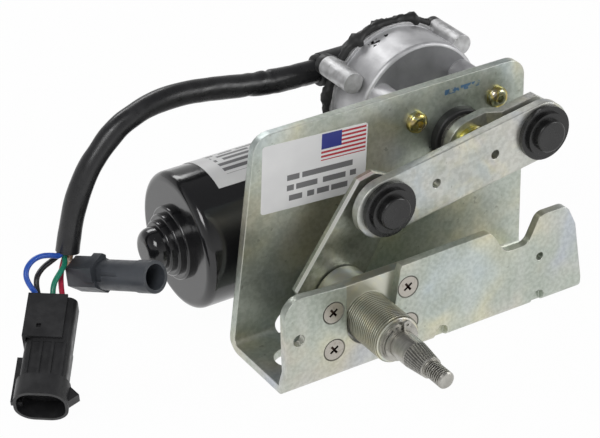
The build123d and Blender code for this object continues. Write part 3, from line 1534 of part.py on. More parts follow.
def make_plug4():
    """Four-wire plug: rear block, ribbed middle, oval collar round four pins."""
    collar = PLUG4_LENGTH - PLUG4_COLLAR
    with BuildPart() as plug4_body:
        with BuildSketch(plug4_plane(0)):
            RectangleRounded(PLUG4_WIDTH - 3.0, PLUG4_HEIGHT, 4.0)
        extrude(amount=PLUG4_SHELL)
        with BuildSketch(plug4_plane(PLUG4_SHELL)):
            RectangleRounded(PLUG4_WIDTH - 2.6, PLUG4_HEIGHT - 0.6, 3.0)
            for place in PLUG4_RIBS:
                with Locations((place, PLUG4_HEIGHT / 2 - 0.3)):
                    Rectangle(1.2, 1.2)
        extrude(amount=collar - PLUG4_SHELL)
        with BuildSketch(plug4_plane(collar)):
            RectangleRounded(PLUG4_WIDTH + 0.6, PLUG4_MOUTH, PLUG4_MOUTH / 2 - 1.6)
        extrude(amount=PLUG4_COLLAR)
        # wide mouth inside the collar, then two pockets with two pins each
        with BuildSketch(plug4_plane(PLUG4_LENGTH)):
            RectangleRounded(PLUG4_WIDTH - 2.0, PLUG4_MOUTH - 3.4, PLUG4_MOUTH / 2 - 3.4)
        extrude(amount=-PLUG4_STEP, mode=Mode.SUBTRACT)
        with BuildSketch(plug4_plane(PLUG4_LENGTH)):
            with Locations((-PLUG4_POCKET, 0), (PLUG4_POCKET, 0)):
                RectangleRounded(2 * PLUG4_POCKET - 1.2, PLUG4_HEIGHT - 5.0, 3.0)
        extrude(amount=-PLUG4_SOCKET, mode=Mode.SUBTRACT)
        # flange on the left and latch wedge on the right
        with BuildSketch(plug4_plane(PLUG4_SHELL + 3.0)):
            with Locations((-PLUG4_WIDTH / 2 + 0.4, -3.2)):
                Rectangle(5.0, 3.0)
        extrude(amount=PLUG4_LENGTH - PLUG4_SHELL - 6.0)
        mouth = plug4_plane(PLUG4_LENGTH)
        edge = PLUG4_WIDTH / 2 - 0.5
        with BuildSketch(Plane(mouth.origin, x_dir=mouth.x_dir, z_dir=-mouth.y_dir)):
            with BuildLine():
                Polyline((edge, -10.0), (edge + PLUG4_WEDGE, -5.5), (edge, -1.0), close=True)
            make_face()
        extrude(amount=2.5, both=True)
        with BuildSketch(plug4_plane(0)):
            Rectangle(PLUG4_WIDTH - 5.0, PLUG4_HEIGHT - 4.0)
        extrude(amount=WIRE_SEAT - 0.5, mode=Mode.SUBTRACT)
    save(plug4_body, "plug4_body")
    with BuildPart() as plug4_lock:
        with BuildSketch(plug4_plane(-0.6)):
            with Locations((-2.0, PLUG4_HEIGHT / 2 + 0.75)):
                Rectangle(PLUG4_WIDTH - 7.0, 1.5)
            with Locations((-PLUG4_WIDTH / 2 + 0.8, 2.0)):
                Rectangle(1.4, PLUG4_HEIGHT - 1.0)
        extrude(amount=PLUG4_SHELL - 1.0)
        with BuildSketch(plug4_plane(PLUG4_SHELL * 0.65)):
            with Locations((-PLUG4_WIDTH / 4 + 1.0, PLUG4_HEIGHT / 2)):
                Rectangle(2.0, 6.0)
        extrude(amount=2.0, mode=Mode.SUBTRACT)
    save(plug4_lock, "plug4_lock")
    with BuildPart() as plug4_pins:
        floor = PLUG4_LENGTH - PLUG4_SOCKET
        with BuildSketch(plug4_plane(floor)):
            with Locations(*[(place, 0) for place in PLUG4_PINS]):
                Rectangle(2.4, 0.8)
        extrude(amount=PLUG4_PIN_LENGTH)
    save(plug4_pins, "plug4_pins")


def plug1_face(distance, radius, place=0.0):
    """Round face across the one-wire plug."""
    return round_face(plug1_plane(distance), (place, 0), radius)


def make_plug1():
    """One-wire plug: six-sided rear, grooved neck and round nose with a deep mouth."""
    nose = PLUG1_REAR_LENGTH + PLUG1_NECK
    with BuildPart() as plug1_body:
        with BuildSketch(plug1_plane(0)):
            RegularPolygon(PLUG1_RADIUS + PLUG1_HEX, 6, rotation=30)
        extrude(amount=PLUG1_REAR_LENGTH)
        fillet(plug1_body.faces().sort_by(Axis.Y)[-1].edges(), 1.8)
        extrude(plug1_face(PLUG1_REAR_LENGTH, PLUG1_RADIUS - 0.4), amount=PLUG1_NECK)
        extrude(plug1_face(nose, PLUG1_RADIUS - 0.4), amount=PLUG1_LENGTH - nose)
        extrude(plug1_face(PLUG1_LENGTH - PLUG1_LIP, PLUG1_RADIUS), amount=PLUG1_LIP)
        extrude(
            plug1_face(PLUG1_LENGTH, PLUG1_RADIUS - 1.6),
            amount=-PLUG1_SOCKET,
            mode=Mode.SUBTRACT,
        )
        with BuildSketch(plug1_plane(PLUG1_REAR_LENGTH)):
            with Locations((-PLUG1_RADIUS, 3.0)):
                Rectangle(3.6, 9.0)
        extrude(amount=PLUG1_NECK, mode=Mode.SUBTRACT)
        with BuildSketch(plug1_plane(nose)):
            with Locations((-PLUG1_RADIUS, 2.0)):
                Rectangle(2.4, 1.6)
        extrude(amount=PLUG1_GROOVE, mode=Mode.SUBTRACT)
        extrude(
            plug1_face(0, WIRE_DIAMETER / 2 + 0.8, PLUG1_WIRE_PLACE),
            amount=PLUG1_WIRE_SEAT,
            mode=Mode.SUBTRACT,
        )
    save(plug1_body, "plug1_body")
    with BuildPart() as plug1_lock:
        with BuildSketch(plug1_plane(PLUG1_REAR_LENGTH - PLUG1_STRAP)):
            RegularPolygon(PLUG1_RADIUS + PLUG1_HEX + 1.5, 6, rotation=30)
            RegularPolygon(PLUG1_RADIUS + PLUG1_HEX, 6, rotation=30, mode=Mode.SUBTRACT)
            with Locations((2.0 - PLUG1_RADIUS, 0.6 * PLUG1_RADIUS)):
                Rectangle(2 * PLUG1_RADIUS, 1.6 * PLUG1_RADIUS, mode=Mode.INTERSECT)
        extrude(amount=PLUG1_STRAP)
    save(plug1_lock, "plug1_lock")
    with BuildPart() as plug1_pin:
        extrude(plug1_face(PLUG1_LENGTH - PLUG1_SOCKET, 1.2), amount=PLUG1_PIN_LENGTH)
    save(plug1_pin, "plug1_pin")


def build_all():
    """Make every piece."""
    make_bracket()
    make_pivot_housing()
    make_sleeves()
    make_pivot_screws()
    make_spindle()
    make_washers()
    make_circlip()
    make_lever()
    make_lever_nut()
    make_lever_stud()
    make_link_bar()
    make_link_bushings()
    make_link_pin()
    make_crank_arm()
    make_crank_pin()
    make_output_shaft()
    make_crank_nut()
    make_worm_wheel()
    make_park_disc()
    make_gear_housing()
    make_gasket()
    make_gear_cover()
    make_cover_screws()
    make_mount_screws()
    make_output_sleeve()
    make_shaft_seal()
    make_thrust_washer()
    make_contact_card()
    make_contact_fingers()
    make_motor_can()
    make_can_screws()
    make_bearings()
    make_magnets()
    make_armature_shaft()
    make_rotor_core()
    make_windings()
    make_commutator()
    make_brush_gear()
    make_labels()
    make_sheath()
    make_grommet()
    make_wires()
    make_plug4()
    make_plug1()


build_all()
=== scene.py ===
# %% [markdown]
# # A windscreen wiper motor, dressed for the studio
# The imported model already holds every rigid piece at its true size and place: the bent bracket,
# the crank linkage, the wiper spindle, the geared motor and the plugs of its harness. This lesson
# adds the camera, the light, the soft harness and the finishes. The rigid pieces stay where
# they are, and each new piece rides on the body that carries it.

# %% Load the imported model
import math

import bmesh
import bpy
from mathutils import Matrix, Vector, noise


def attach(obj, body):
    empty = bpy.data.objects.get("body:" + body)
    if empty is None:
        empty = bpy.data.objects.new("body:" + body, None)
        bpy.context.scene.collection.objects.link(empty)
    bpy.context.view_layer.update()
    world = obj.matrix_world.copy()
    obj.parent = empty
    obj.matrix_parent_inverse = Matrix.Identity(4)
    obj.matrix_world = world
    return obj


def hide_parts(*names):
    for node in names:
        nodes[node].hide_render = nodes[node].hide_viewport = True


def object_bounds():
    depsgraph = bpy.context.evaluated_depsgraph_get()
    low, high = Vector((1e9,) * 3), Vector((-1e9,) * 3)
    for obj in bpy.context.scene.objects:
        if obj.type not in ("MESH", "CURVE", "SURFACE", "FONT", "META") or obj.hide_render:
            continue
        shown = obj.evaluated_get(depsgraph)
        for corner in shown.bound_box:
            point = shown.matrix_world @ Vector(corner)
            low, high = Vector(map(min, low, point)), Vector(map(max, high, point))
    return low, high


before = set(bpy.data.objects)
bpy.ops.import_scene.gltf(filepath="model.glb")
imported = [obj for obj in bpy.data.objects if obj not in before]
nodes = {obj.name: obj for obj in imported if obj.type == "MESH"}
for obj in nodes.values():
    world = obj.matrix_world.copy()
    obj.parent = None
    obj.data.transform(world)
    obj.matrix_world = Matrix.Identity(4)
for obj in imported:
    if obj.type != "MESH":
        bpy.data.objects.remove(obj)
cad_box = [list(corner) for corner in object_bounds()]

# %% [markdown]
# ## Camera
# A product picture of a long part is taken from far away with a long lens, so that parallel
# edges stay nearly parallel. The camera stands up and to the left, and is rolled a little.
# Its axes are written out as three directions, because that keeps the roll exact.

# %% Camera
CAMERA_PLACE = Vector((-0.4284, -0.6638, 0.5133))
CAMERA_RIGHT = Vector((0.85300, -0.52140, -0.02292))
CAMERA_UP = Vector((0.28050, 0.42097, 0.86261))
CAMERA_BACK = Vector((-0.44012, -0.74224, 0.50534))
CAMERA_LENS = 129.8

lens = bpy.data.cameras.new("studio_camera")
lens.lens = CAMERA_LENS
lens.sensor_width = 36.0
lens.clip_start = 0.05
camera = bpy.data.objects.new("studio_camera", lens)
axes = Matrix((CAMERA_RIGHT, CAMERA_UP, CAMERA_BACK)).transposed().to_4x4()
camera.matrix_world = Matrix.Translation(CAMERA_PLACE) @ axes
bpy.context.scene.collection.objects.link(camera)
bpy.context.scene.camera = camera
bpy.context.scene.view_settings.view_transform = "Standard"
print("camera", [round(v, 3) for v in camera.location])

# %% [markdown]
# ## The harness: routes first
# A harness is a soft sleeve with coloured wires in it. It leaves the gearbox cover through a
# grommet, bows over the motor and hangs down to its two plugs. Each route is a short list of
# points, and a smooth NURBS curve runs along it, as a real cord does. The routes are those of the
# solid model, in metres. A few points of the green, red and tan wires are moved, and tan has three
# more behind its plug, so that the wires clear each other and tan turns in a round bend.

# %% Routes
SHEATH_ROUTE = (
    (0.0500, 0.1102, 0.0629),
    (0.0265, 0.1102, 0.0629),
    (0.0027, 0.1084, 0.0670),
    (-0.0210, 0.1067, 0.0723),
    (-0.0420, 0.1053, 0.0746),
    (-0.0610, 0.1040, 0.0707),
    (-0.0760, 0.1030, 0.0600),
    (-0.0868, 0.1020, 0.0452),
    (-0.0932, 0.1010, 0.0292),
    (-0.0964, 0.1000, 0.0160),
)
SHEATH_DIAMETER = 0.0110
SHEATH_WALL = 0.0008
WIRE_DIAMETER = 0.0025
WIRE_ROUTES = {
    "wire_blue": (
        (-0.0981, 0.0992, 0.0213), (-0.0996, 0.0987, 0.0148), (-0.1058, 0.0970, 0.0186),
        (-0.1110, 0.0970, 0.0199), (-0.1161, 0.0955, 0.0196), (-0.1200, 0.0935, 0.0170),
        (-0.1210, 0.0905, 0.0132), (-0.1169, 0.0878, 0.0047), (-0.1202, 0.0831, 0.0024),
    ),
    "wire_black": (
        (-0.0975, 0.1025, 0.0209), (-0.0990, 0.1020, 0.0144), (-0.1038, 0.1010, 0.0131),
        (-0.1105, 0.0985, 0.0122), (-0.1158, 0.0940, 0.0101), (-0.1160, 0.0894, 0.0000),
        (-0.1194, 0.0847, -0.0022),
    ),
    "wire_green": (
        (-0.0955, 0.1005, 0.0210), (-0.0980, 0.1005, 0.0145), (-0.0995, 0.0965, 0.0120),
        (-0.1042, 0.0920, 0.0118), (-0.1096, 0.0886, 0.0092), (-0.1120, 0.0850, 0.0038),
        (-0.1155, 0.0802, 0.0014),
    ),
    "wire_red": (
        (-0.0943, 0.1032, 0.0201), (-0.0960, 0.1030, 0.0135), (-0.1004, 0.0992, 0.0090),
        (-0.1050, 0.0910, 0.0069), (-0.1078, 0.0833, 0.0007), (-0.1111, 0.0786, -0.0015),
    ),
    "wire_tan": (
        (-0.0950, 0.0975, 0.0190), (-0.0950, 0.0995, 0.0145), (-0.0950, 0.1020, 0.0100),
        (-0.0930, 0.1050, 0.0085), (-0.0925, 0.1090, 0.0095), (-0.0920, 0.1120, 0.0075),
        (-0.0920, 0.1115, 0.0035), (-0.0920, 0.1090, 0.0015), (-0.0919, 0.1048, 0.0014),
        (-0.0898, 0.0993, 0.0033),
    ),
}


def smooth_curve(name, route, radius=0.0):
    """An open NURBS curve along a route, round where it has a radius."""
    data = bpy.data.curves.new(name, "CURVE")
    data.dimensions = "3D"
    data.resolution_u = 12
    spline = data.splines.new("NURBS")
    spline.points.add(len(route) - 1)
    for point, place in zip(spline.points, route):
        point.co = (*place, 1.0)
    spline.order_u = 3
    spline.use_endpoint_u = True
    data.bevel_depth = radius
    data.bevel_resolution = 6
    data.use_fill_caps = radius > 0
    curve = bpy.data.objects.new(name, data)
    bpy.context.scene.collection.objects.link(curve)
    return curve


def points_along(curve):
    """The places that the smooth curve passes, and its length."""
    line = bpy.data.meshes.new_from_object(curve)
    places = [vertex.co.copy() for vertex in line.vertices]
    length = sum((b - a).length for a, b in zip(places, places[1:]))
    return places, length


# %% [markdown]
# ## The harness: wires
# The five wires are thin and stiff for their size, so they bow between the sleeve and the plugs.
# A round bevel on the smooth curve gives the wire its thickness, and the curve is then turned
# into a mesh tube.

# %% Wires
wires = {}
for name, route in WIRE_ROUTES.items():
    line = smooth_curve(name + "_line", route)
    wire_path, wire_length = points_along(line)
    thick = smooth_curve(name + "_thick", route, WIRE_DIAMETER / 2)
    wires[name] = bpy.data.objects.new(name + "_tube", bpy.data.meshes.new_from_object(thick))
    bpy.context.scene.collection.objects.link(wires[name])
    for spare in (line, thick):
        bpy.data.objects.remove(spare)
    wires[name].data.shade_smooth()
    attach(wires[name], "frame")
    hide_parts(name)
    print(name, "is", round(wire_length * 1000, 1), "mm long")

# %% [markdown]
# ## The harness: sleeve
# The sleeve is soft vinyl. Pulled over its wires it isn't perfectly round: it flattens where it
# bends and folds into shallow creases. So it is a mesh tube, ring after ring along the smooth
# curve, and each ring is swollen or pinched a little by slow waves and by a few named creases.
# A second, inner wall closes it at its open end.

# %% Sleeve
RING_SIDES = 28
RING_PITCH = 0.0011   # distance between rings
SKIN = 0.0001         # the sleeve is this much inside the solid one
SWELLING = (0.00035, 0.16)   # height; place along the sleeve, which is also its width
CREASES = (          # place along the sleeve (0 to 1), depth, width, direction round it
    (0.120, 0.00040, 0.010, 2.2),
    (0.205, 0.00110, 0.008, 1.4),
    (0.300, 0.00045, 0.012, 2.6),
    (0.262, 0.00040, 0.016, 0.6),
    (0.520, 0.00035, 0.030, 2.4),
    (0.630, 0.00060, 0.022, 1.9),
    (0.680, 0.00045, 0.026, 2.8),
    (0.735, 0.00060, 0.024, 1.5),
    (0.800, 0.00045, 0.030, 2.5),
)


def dent(share, turn):
    """How far the sleeve's wall is pushed in, at a place along it and round it."""
    slow = 0.00014 * math.sin(31 * share + 1.3) * math.cos(turn * 2 + 9 * share)
    ripple = 0.00004 * math.sin(83 * share + 2 * math.sin(turn)) * math.cos(turn - 1)
    folds = 0.0
    for place, depth, width, direction in CREASES:
        slanted = share - place + 0.010 * math.sin(turn - direction)
        along = math.exp(-((slanted / width) ** 2))
        around = 0.5 + 0.5 * math.cos(turn - direction)
        folds += depth * along * around
    return folds + slow + ripple


sheath_line = smooth_curve("sheath_line", SHEATH_ROUTE)
sheath_path, sheath_length = points_along(sheath_line)
bpy.data.objects.remove(sheath_line)

fine_path = []
for start, end in zip(sheath_path, sheath_path[1:]):
    parts = max(1, round((end - start).length / RING_PITCH))
    fine_path += [start.lerp(end, k / parts) for k in range(parts)]
fine_path.append(sheath_path[-1])

mesh = bmesh.new()
rings = []
side_axis = Vector((0, 0, 1))
for k, place in enumerate(fine_path):
    ahead = fine_path[min(k + 1, len(fine_path) - 1)] - fine_path[max(k - 1, 0)]
    ahead.normalize()
    side_axis = (side_axis - ahead * side_axis.dot(ahead)).normalized()
    other = ahead.cross(side_axis)
    share = k / (len(fine_path) - 1)
    ring = []
    for step in range(RING_SIDES):
        turn = 2 * math.pi * step / RING_SIDES
        full = SWELLING[0] * math.exp(-(((share - SWELLING[1]) / SWELLING[1]) ** 2))
        reach = SHEATH_DIAMETER / 2 - SKIN + full - dent(share, turn)
        outward = side_axis * math.cos(turn) + other * math.sin(turn)
        ring.append(mesh.verts.new(place + outward * reach))
    rings.append(ring)
for near, far in zip(rings, rings[1:]):
    for step in range(RING_SIDES):
        after = (step + 1) % RING_SIDES
        mesh.faces.new((near[step], near[after], far[after], far[step]))
sheath_mesh = bpy.data.meshes.new("sheath_tube")
mesh.to_mesh(sheath_mesh)
mesh.free()
sheath = bpy.data.objects.new("sheath_tube", sheath_mesh)
bpy.context.scene.collection.objects.link(sheath)


def pick(piece):
    """Only this piece is selected and active."""
    bpy.ops.object.select_all(action="DESELECT")
    piece.select_set(True)
    bpy.context.view_layer.objects.active = piece


def finish_modifiers(piece):
    """Every modifier of the piece becomes part of its mesh."""
    pick(piece)
    for modifier in list(piece.modifiers):
        bpy.ops.object.modifier_apply(modifier=modifier.name)


def outwards(piece):
    """Doubles are merged and every face is turned outwards."""
    pick(piece)
    bpy.ops.object.mode_set(mode="EDIT")
    bpy.ops.mesh.select_all(action="SELECT")
    bpy.ops.mesh.remove_doubles(threshold=0.00001)
    bpy.ops.mesh.normals_make_consistent(inside=False)
    bpy.ops.object.mode_set(mode="OBJECT")


outwards(sheath)
wall = sheath.modifiers.new("wall", "SOLIDIFY")
wall.thickness = SHEATH_WALL
wall.offset = -1
finish_modifiers(sheath)
pick(sheath)
bpy.ops.object.shade_smooth_by_angle(angle=math.radians(50))
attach(sheath, "frame")
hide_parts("sheath")
print("sleeve", round(sheath_length * 1000, 1), "mm,", len(sheath.data.vertices), "points")

# %% [markdown]
# ## Sealant bead
# The cover sits in a bead of black sealant, squeezed out by its screws into a lumpy ring. A
# torus is the start, its points are pushed in and out by noise, and a few lumps stand where
# more came out. The flat gasket's own outline is kept under it.

# %% Sealant bead
HUB = (0.0740, 0.0498)
BEAD_PLACE = (HUB[0], 0.0970, HUB[1])
BEAD_RADIUS = 0.0352      # middle line of the bead
BEAD_THICKNESS = 0.0022   # its own radius before it is made uneven
LUMPS = ((0.0452, 0.0700, 0.0026), (0.0560, 0.0806, 0.0020), (0.0858, 0.0832, 0.0024))
bpy.ops.object.select_all(action="DESELECT")
bpy.ops.mesh.primitive_torus_add(
    location=BEAD_PLACE, rotation=(math.pi / 2, 0, 0), major_segments=180, minor_segments=12,
    major_radius=BEAD_RADIUS, minor_radius=BEAD_THICKNESS,
)
bead = bpy.context.object
bead.name = "sealant_bead"
bpy.ops.object.transform_apply(location=True, rotation=True, scale=True)
centre = Vector(BEAD_PLACE)
for vertex in bead.data.vertices:
    arm = vertex.co - centre
    spine = Vector((arm.x, 0, arm.z)).normalized() * BEAD_RADIUS
    swell = 1.0 + 0.60 * noise.noise(vertex.co * 190) + 0.45 * noise.noise(vertex.co * 560)
    swell += sum(
        0.8 * math.exp(-(((vertex.co.x - x) ** 2 + (vertex.co.z - z) ** 2) / size**2))
        for x, z, size in LUMPS
    )
    vertex.co = centre + spine + (arm - spine) * max(0.35, swell)
    vertex.co.y += 0.0009 * noise.noise(spine * 95)
bead.data.shade_smooth()
plate_ring = bpy.data.objects.new("gasket_copy", nodes["gasket"].data.copy())
bpy.context.scene.collection.objects.link(plate_ring)
pick(bead)
plate_ring.select_set(True)
bpy.ops.object.join()
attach(bead, "frame")
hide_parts("gasket")
print("bead", len(bead.data.vertices), "points")

# %% [markdown]
# ## Floor and light
# A catalogue picture has a white room: a white table below, a pale wall behind and two large
# soft lamps. Metal shows what is round it, so the room matters more than the lamps: the white
# table gives the plates their glow and the blackness overhead gives gloss paint its depth.
# The camera, mirrors and glass see the pale room, and the object gets moderate light.

# %% Floor
CAMERA_SHARE = 1.22   # how white the table is to the camera, before the share below
FLOOR_SHARE = 0.80    # how much of the table shines by itself
lowest = cad_box[0][2]
bpy.ops.object.select_all(action="DESELECT")
bpy.ops.mesh.primitive_plane_add(size=6, location=(0, 0, lowest - 0.0004))
floor = bpy.context.object
floor.name = "studio_table"

floor_paint = bpy.data.materials.new("table_white")
floor_paint.use_nodes = True
tree = floor_paint.node_tree
tree.nodes.clear()
out = tree.nodes.new("ShaderNodeOutputMaterial")
mix = tree.nodes.new("ShaderNodeMixShader")
rough = tree.nodes.new("ShaderNodeBsdfDiffuse")
rough.inputs["Color"].default_value = (0.86, 0.86, 0.86, 1)
white = tree.nodes.new("ShaderNodeEmission")
white.inputs["Strength"].default_value = 1.0
rays = tree.nodes.new("ShaderNodeLightPath")
seen = tree.nodes.new("ShaderNodeMath")
seen.operation = "MULTIPLY_ADD"
seen.inputs[1].default_value = CAMERA_SHARE
seen_more = tree.nodes.new("ShaderNodeMath")
seen_more.operation = "MAXIMUM"
share = tree.nodes.new("ShaderNodeMath")
share.operation = "MULTIPLY"
share.inputs[1].default_value = FLOOR_SHARE
tree.links.new(rays.outputs["Is Camera Ray"], seen.inputs[0])
tree.links.new(rays.outputs["Is Glossy Ray"], seen.inputs[2])
tree.links.new(seen.outputs[0], seen_more.inputs[0])
tree.links.new(rays.outputs["Is Transmission Ray"], seen_more.inputs[1])
tree.links.new(seen_more.outputs[0], share.inputs[0])
tree.links.new(share.outputs[0], mix.inputs[0])
tree.links.new(rough.outputs[0], mix.inputs[1])
tree.links.new(white.outputs[0], mix.inputs[2])
tree.links.new(mix.outputs[0], out.inputs["Surface"])
floor.data.materials.append(floor_paint)

# %% [markdown]
# The room's walls are seen only by reflection: bright low down and dim overhead, as in a tent of
# white cloth with an open top. The camera itself sees plain white behind the object.

# %% The room
room = bpy.data.worlds.new("white_room")
bpy.context.scene.world = room
room.use_nodes = True
tree = room.node_tree
tree.nodes.clear()
out = tree.nodes.new("ShaderNodeOutputWorld")
mix = tree.nodes.new("ShaderNodeMixShader")
backdrop = tree.nodes.new("ShaderNodeBackground")
backdrop.inputs["Color"].default_value = (1, 1, 1, 1)
backdrop.inputs["Strength"].default_value = 1.0
walls = tree.nodes.new("ShaderNodeBackground")
walls.inputs["Strength"].default_value = 0.62
direction = tree.nodes.new("ShaderNodeTexCoord")
split = tree.nodes.new("ShaderNodeSeparateXYZ")
heights = tree.nodes.new("ShaderNodeValToRGB")
heights.color_ramp.elements[0].position = 0.05
heights.color_ramp.elements[0].color = (1.0, 1.0, 1.0, 1)
heights.color_ramp.elements[1].position = 0.75
heights.color_ramp.elements[1].color = (0.30, 0.30, 0.31, 1)
rays = tree.nodes.new("ShaderNodeLightPath")
tree.links.new(direction.outputs["Generated"], split.inputs[0])
tree.links.new(split.outputs["Z"], heights.inputs[0])
tree.links.new(heights.outputs[0], walls.inputs["Color"])
tree.links.new(rays.outputs["Is Camera Ray"], mix.inputs[0])
tree.links.new(walls.outputs[0], mix.inputs[1])
tree.links.new(backdrop.outputs[0], mix.inputs[2])
tree.links.new(mix.outputs[0], out.inputs["Surface"])

# %% [markdown]
# Three rectangular lamps give soft shadows. The key comes from the upper left, the fill from the
# lower right, and a narrow one behind draws a line of light along the upper edges.


# %% Lamps
def soft_lamp(name, place, aim, size, power):
    """A rectangular lamp that looks at a point."""
    data = bpy.data.lights.new(name, "AREA")
    data.shape = "RECTANGLE"
    data.size, data.size_y = size
    data.energy = power
    lamp = bpy.data.objects.new(name, data)
    lamp.location = place
    lamp.rotation_euler = (Vector(aim) - Vector(place)).to_track_quat("-Z", "Y").to_euler()
    bpy.context.scene.collection.objects.link(lamp)
    return lamp


MIDDLE = (0.02, 0.03, 0.03)
soft_lamp("key_lamp", (-0.75, -0.55, 1.05), MIDDLE, (0.55, 0.55), 7.0)
soft_lamp("fill_lamp", (1.05, -0.75, 0.55), MIDDLE, (0.60, 0.60), 5.0)
soft_lamp("rim_lamp", (0.10, 1.10, 0.80), MIDDLE, (0.80, 0.30), 4.0)
print("lamps", len(bpy.data.lights))

# %% [markdown]
# ## Shared effects
# Four effects come back in many finishes, so each is one node group: slow patches, fine cast
# grain, brushed lines, and the rainbow film of passivated zinc. Each reads Object coordinates,
# so a pattern stays on its piece when the linkage moves.


# %% Helpers for shader nodes
def add_node(tree, kind, **settings):
    """A shader node with its properties set."""
    made = tree.nodes.new(kind)
    for name, value in settings.items():
        setattr(made, name, value)
    return made


def join(tree, source, target):
    """A link between two sockets; a plain value is set instead."""
    if isinstance(source, bpy.types.NodeSocket):
        tree.links.new(source, target)
    else:
        target.default_value = source


def new_group(name, inputs, outputs):
    """An empty node group with number inputs and the outputs that are named with their kinds."""
    group = bpy.data.node_groups.new(name, "ShaderNodeTree")
    for label, value in inputs.items():
        kind = "NodeSocketVector" if isinstance(value, tuple) else "NodeSocketFloat"
        made = group.interface.new_socket(label, in_out="INPUT", socket_type=kind)
        made.default_value = value
    for label, kind in outputs.items():
        group.interface.new_socket(label, in_out="OUTPUT", socket_type=kind)
    return group, group.nodes.new("NodeGroupInput"), group.nodes.new("NodeGroupOutput")


def ramp(tree, source, stops):
    """A colour ramp over a value, from (place, colour) stops."""
    made = tree.nodes.new("ShaderNodeValToRGB")
    while len(made.color_ramp.elements) < len(stops):
        made.color_ramp.elements.new(0.5)
    for element, (place, colour) in zip(made.color_ramp.elements, stops):
        element.position = place
        shade = colour if isinstance(colour, tuple) else (colour,) * 3
        element.color = (*shade, 1)
    join(tree, source, made.inputs[0])
    return made.outputs[0]


def blend_colours(tree, share, first, second):
    """One colour laid over another by a share."""
    made = add_node(tree, "ShaderNodeMix", data_type="RGBA", blend_type="MIX")
    for socket, value in ((0, share), (6, first), (7, second)):
        if isinstance(value, tuple):
            value = (*value, 1)
        join(tree, value, made.inputs[socket])
    return made.outputs[2]


def calc(tree, how, first, second=0.0, third=0.0):
    """A math node."""
    made = add_node(tree, "ShaderNodeMath", operation=how)
    for socket, value in zip(made.inputs, (first, second, third)):
        join(tree, value, socket)
    return made.outputs[0]


# %% [markdown]
# Patches are one noise between two limits, which gives clouds when the limits are far apart and
# hard-edged specks when they are close.

# %% Group: patches
patches, inside, outside = new_group(
    "patches",
    {"Scale": 40.0, "Detail": 4.0, "Low": 0.4, "High": 0.6, "Place": (0.0, 0.0, 0.0)},
    {"Mask": "NodeSocketFloat"},
)
place = patches.nodes.new("ShaderNodeTexCoord")
shift = add_node(patches, "ShaderNodeVectorMath", operation="ADD")
speckle = patches.nodes.new("ShaderNodeTexNoise")
reach = add_node(patches, "ShaderNodeMapRange", interpolation_type="SMOOTHSTEP")
join(patches, place.outputs["Object"], shift.inputs[0])
join(patches, inside.outputs["Place"], shift.inputs[1])
join(patches, shift.outputs[0], speckle.inputs["Vector"])
join(patches, inside.outputs["Scale"], speckle.inputs["Scale"])
join(patches, inside.outputs["Detail"], speckle.inputs["Detail"])
join(patches, speckle.outputs[0], reach.inputs["Value"])
join(patches, inside.outputs["Low"], reach.inputs["From Min"])
join(patches, inside.outputs["High"], reach.inputs["From Max"])
join(patches, reach.outputs[0], outside.inputs["Mask"])

# %% [markdown]
# A casting takes the grain of its mould: a fine noise, with small pits from a cell pattern.

# %% Group: cast grain
cast_grain, inside, outside = new_group(
    "cast_grain", {"Scale": 900.0, "Pits": 0.4}, {"Height": "NodeSocketFloat"}
)
place = cast_grain.nodes.new("ShaderNodeTexCoord")
fine = cast_grain.nodes.new("ShaderNodeTexNoise")
fine.inputs["Detail"].default_value = 5
cells = add_node(cast_grain, "ShaderNodeTexVoronoi", feature="F1")
join(cast_grain, place.outputs["Object"], fine.inputs["Vector"])
join(cast_grain, place.outputs["Object"], cells.inputs["Vector"])
join(cast_grain, inside.outputs["Scale"], fine.inputs["Scale"])
half = calc(cast_grain, "MULTIPLY", inside.outputs["Scale"], 0.45)
join(cast_grain, half, cells.inputs["Scale"])
pitted = calc(cast_grain, "MULTIPLY", cells.outputs["Distance"], inside.outputs["Pits"])
join(cast_grain, calc(cast_grain, "ADD", fine.outputs[0], pitted), outside.inputs["Height"])

# %% [markdown]
# Tools and rolls leave lines that run one way. A noise stretched far along one axis gives them.

# %% Group: brushed lines
brushed, inside, outside = new_group(
    "brushed_lines", {"Stretch": (20.0, 900.0, 900.0)}, {"Lines": "NodeSocketFloat"}
)
place = brushed.nodes.new("ShaderNodeTexCoord")
stretch = add_node(brushed, "ShaderNodeVectorMath", operation="MULTIPLY")
lines = brushed.nodes.new("ShaderNodeTexNoise")
lines.inputs["Scale"].default_value = 1.0
lines.inputs["Detail"].default_value = 3.0
join(brushed, place.outputs["Object"], stretch.inputs[0])
join(brushed, inside.outputs["Stretch"], stretch.inputs[1])
join(brushed, stretch.outputs[0], lines.inputs["Vector"])
join(brushed, lines.outputs[0], outside.inputs["Lines"])

# %% [markdown]
# The film on passivated zinc is thinner than a wave of light, so its colour turns from straw
# to pink to blue as its thickness drifts. A slow noise stands for that thickness, a colour ramp
# for the order of the colours, and a second noise says where the film shows at all.

# %% Group: rainbow film
film, inside, outside = new_group(
    "rainbow_film",
    {"Scale": 22.0, "Reach": 0.5, "Place": (0.0, 0.0, 0.0)},
    {"Colour": "NodeSocketColor", "Mask": "NodeSocketFloat"},
)
place = film.nodes.new("ShaderNodeTexCoord")
shift = add_node(film, "ShaderNodeVectorMath", operation="ADD")
join(film, place.outputs["Object"], shift.inputs[0])
join(film, inside.outputs["Place"], shift.inputs[1])
thickness = film.nodes.new("ShaderNodeTexNoise")
thickness.inputs["Detail"].default_value = 2
thickness.inputs["Distortion"].default_value = 0.6
where = film.nodes.new("ShaderNodeTexNoise")
where.inputs["Detail"].default_value = 3
join(film, shift.outputs[0], thickness.inputs["Vector"])
join(film, shift.outputs[0], where.inputs["Vector"])
join(film, inside.outputs["Scale"], thickness.inputs["Scale"])
join(film, calc(film, "MULTIPLY", inside.outputs["Scale"], 1.9), where.inputs["Scale"])
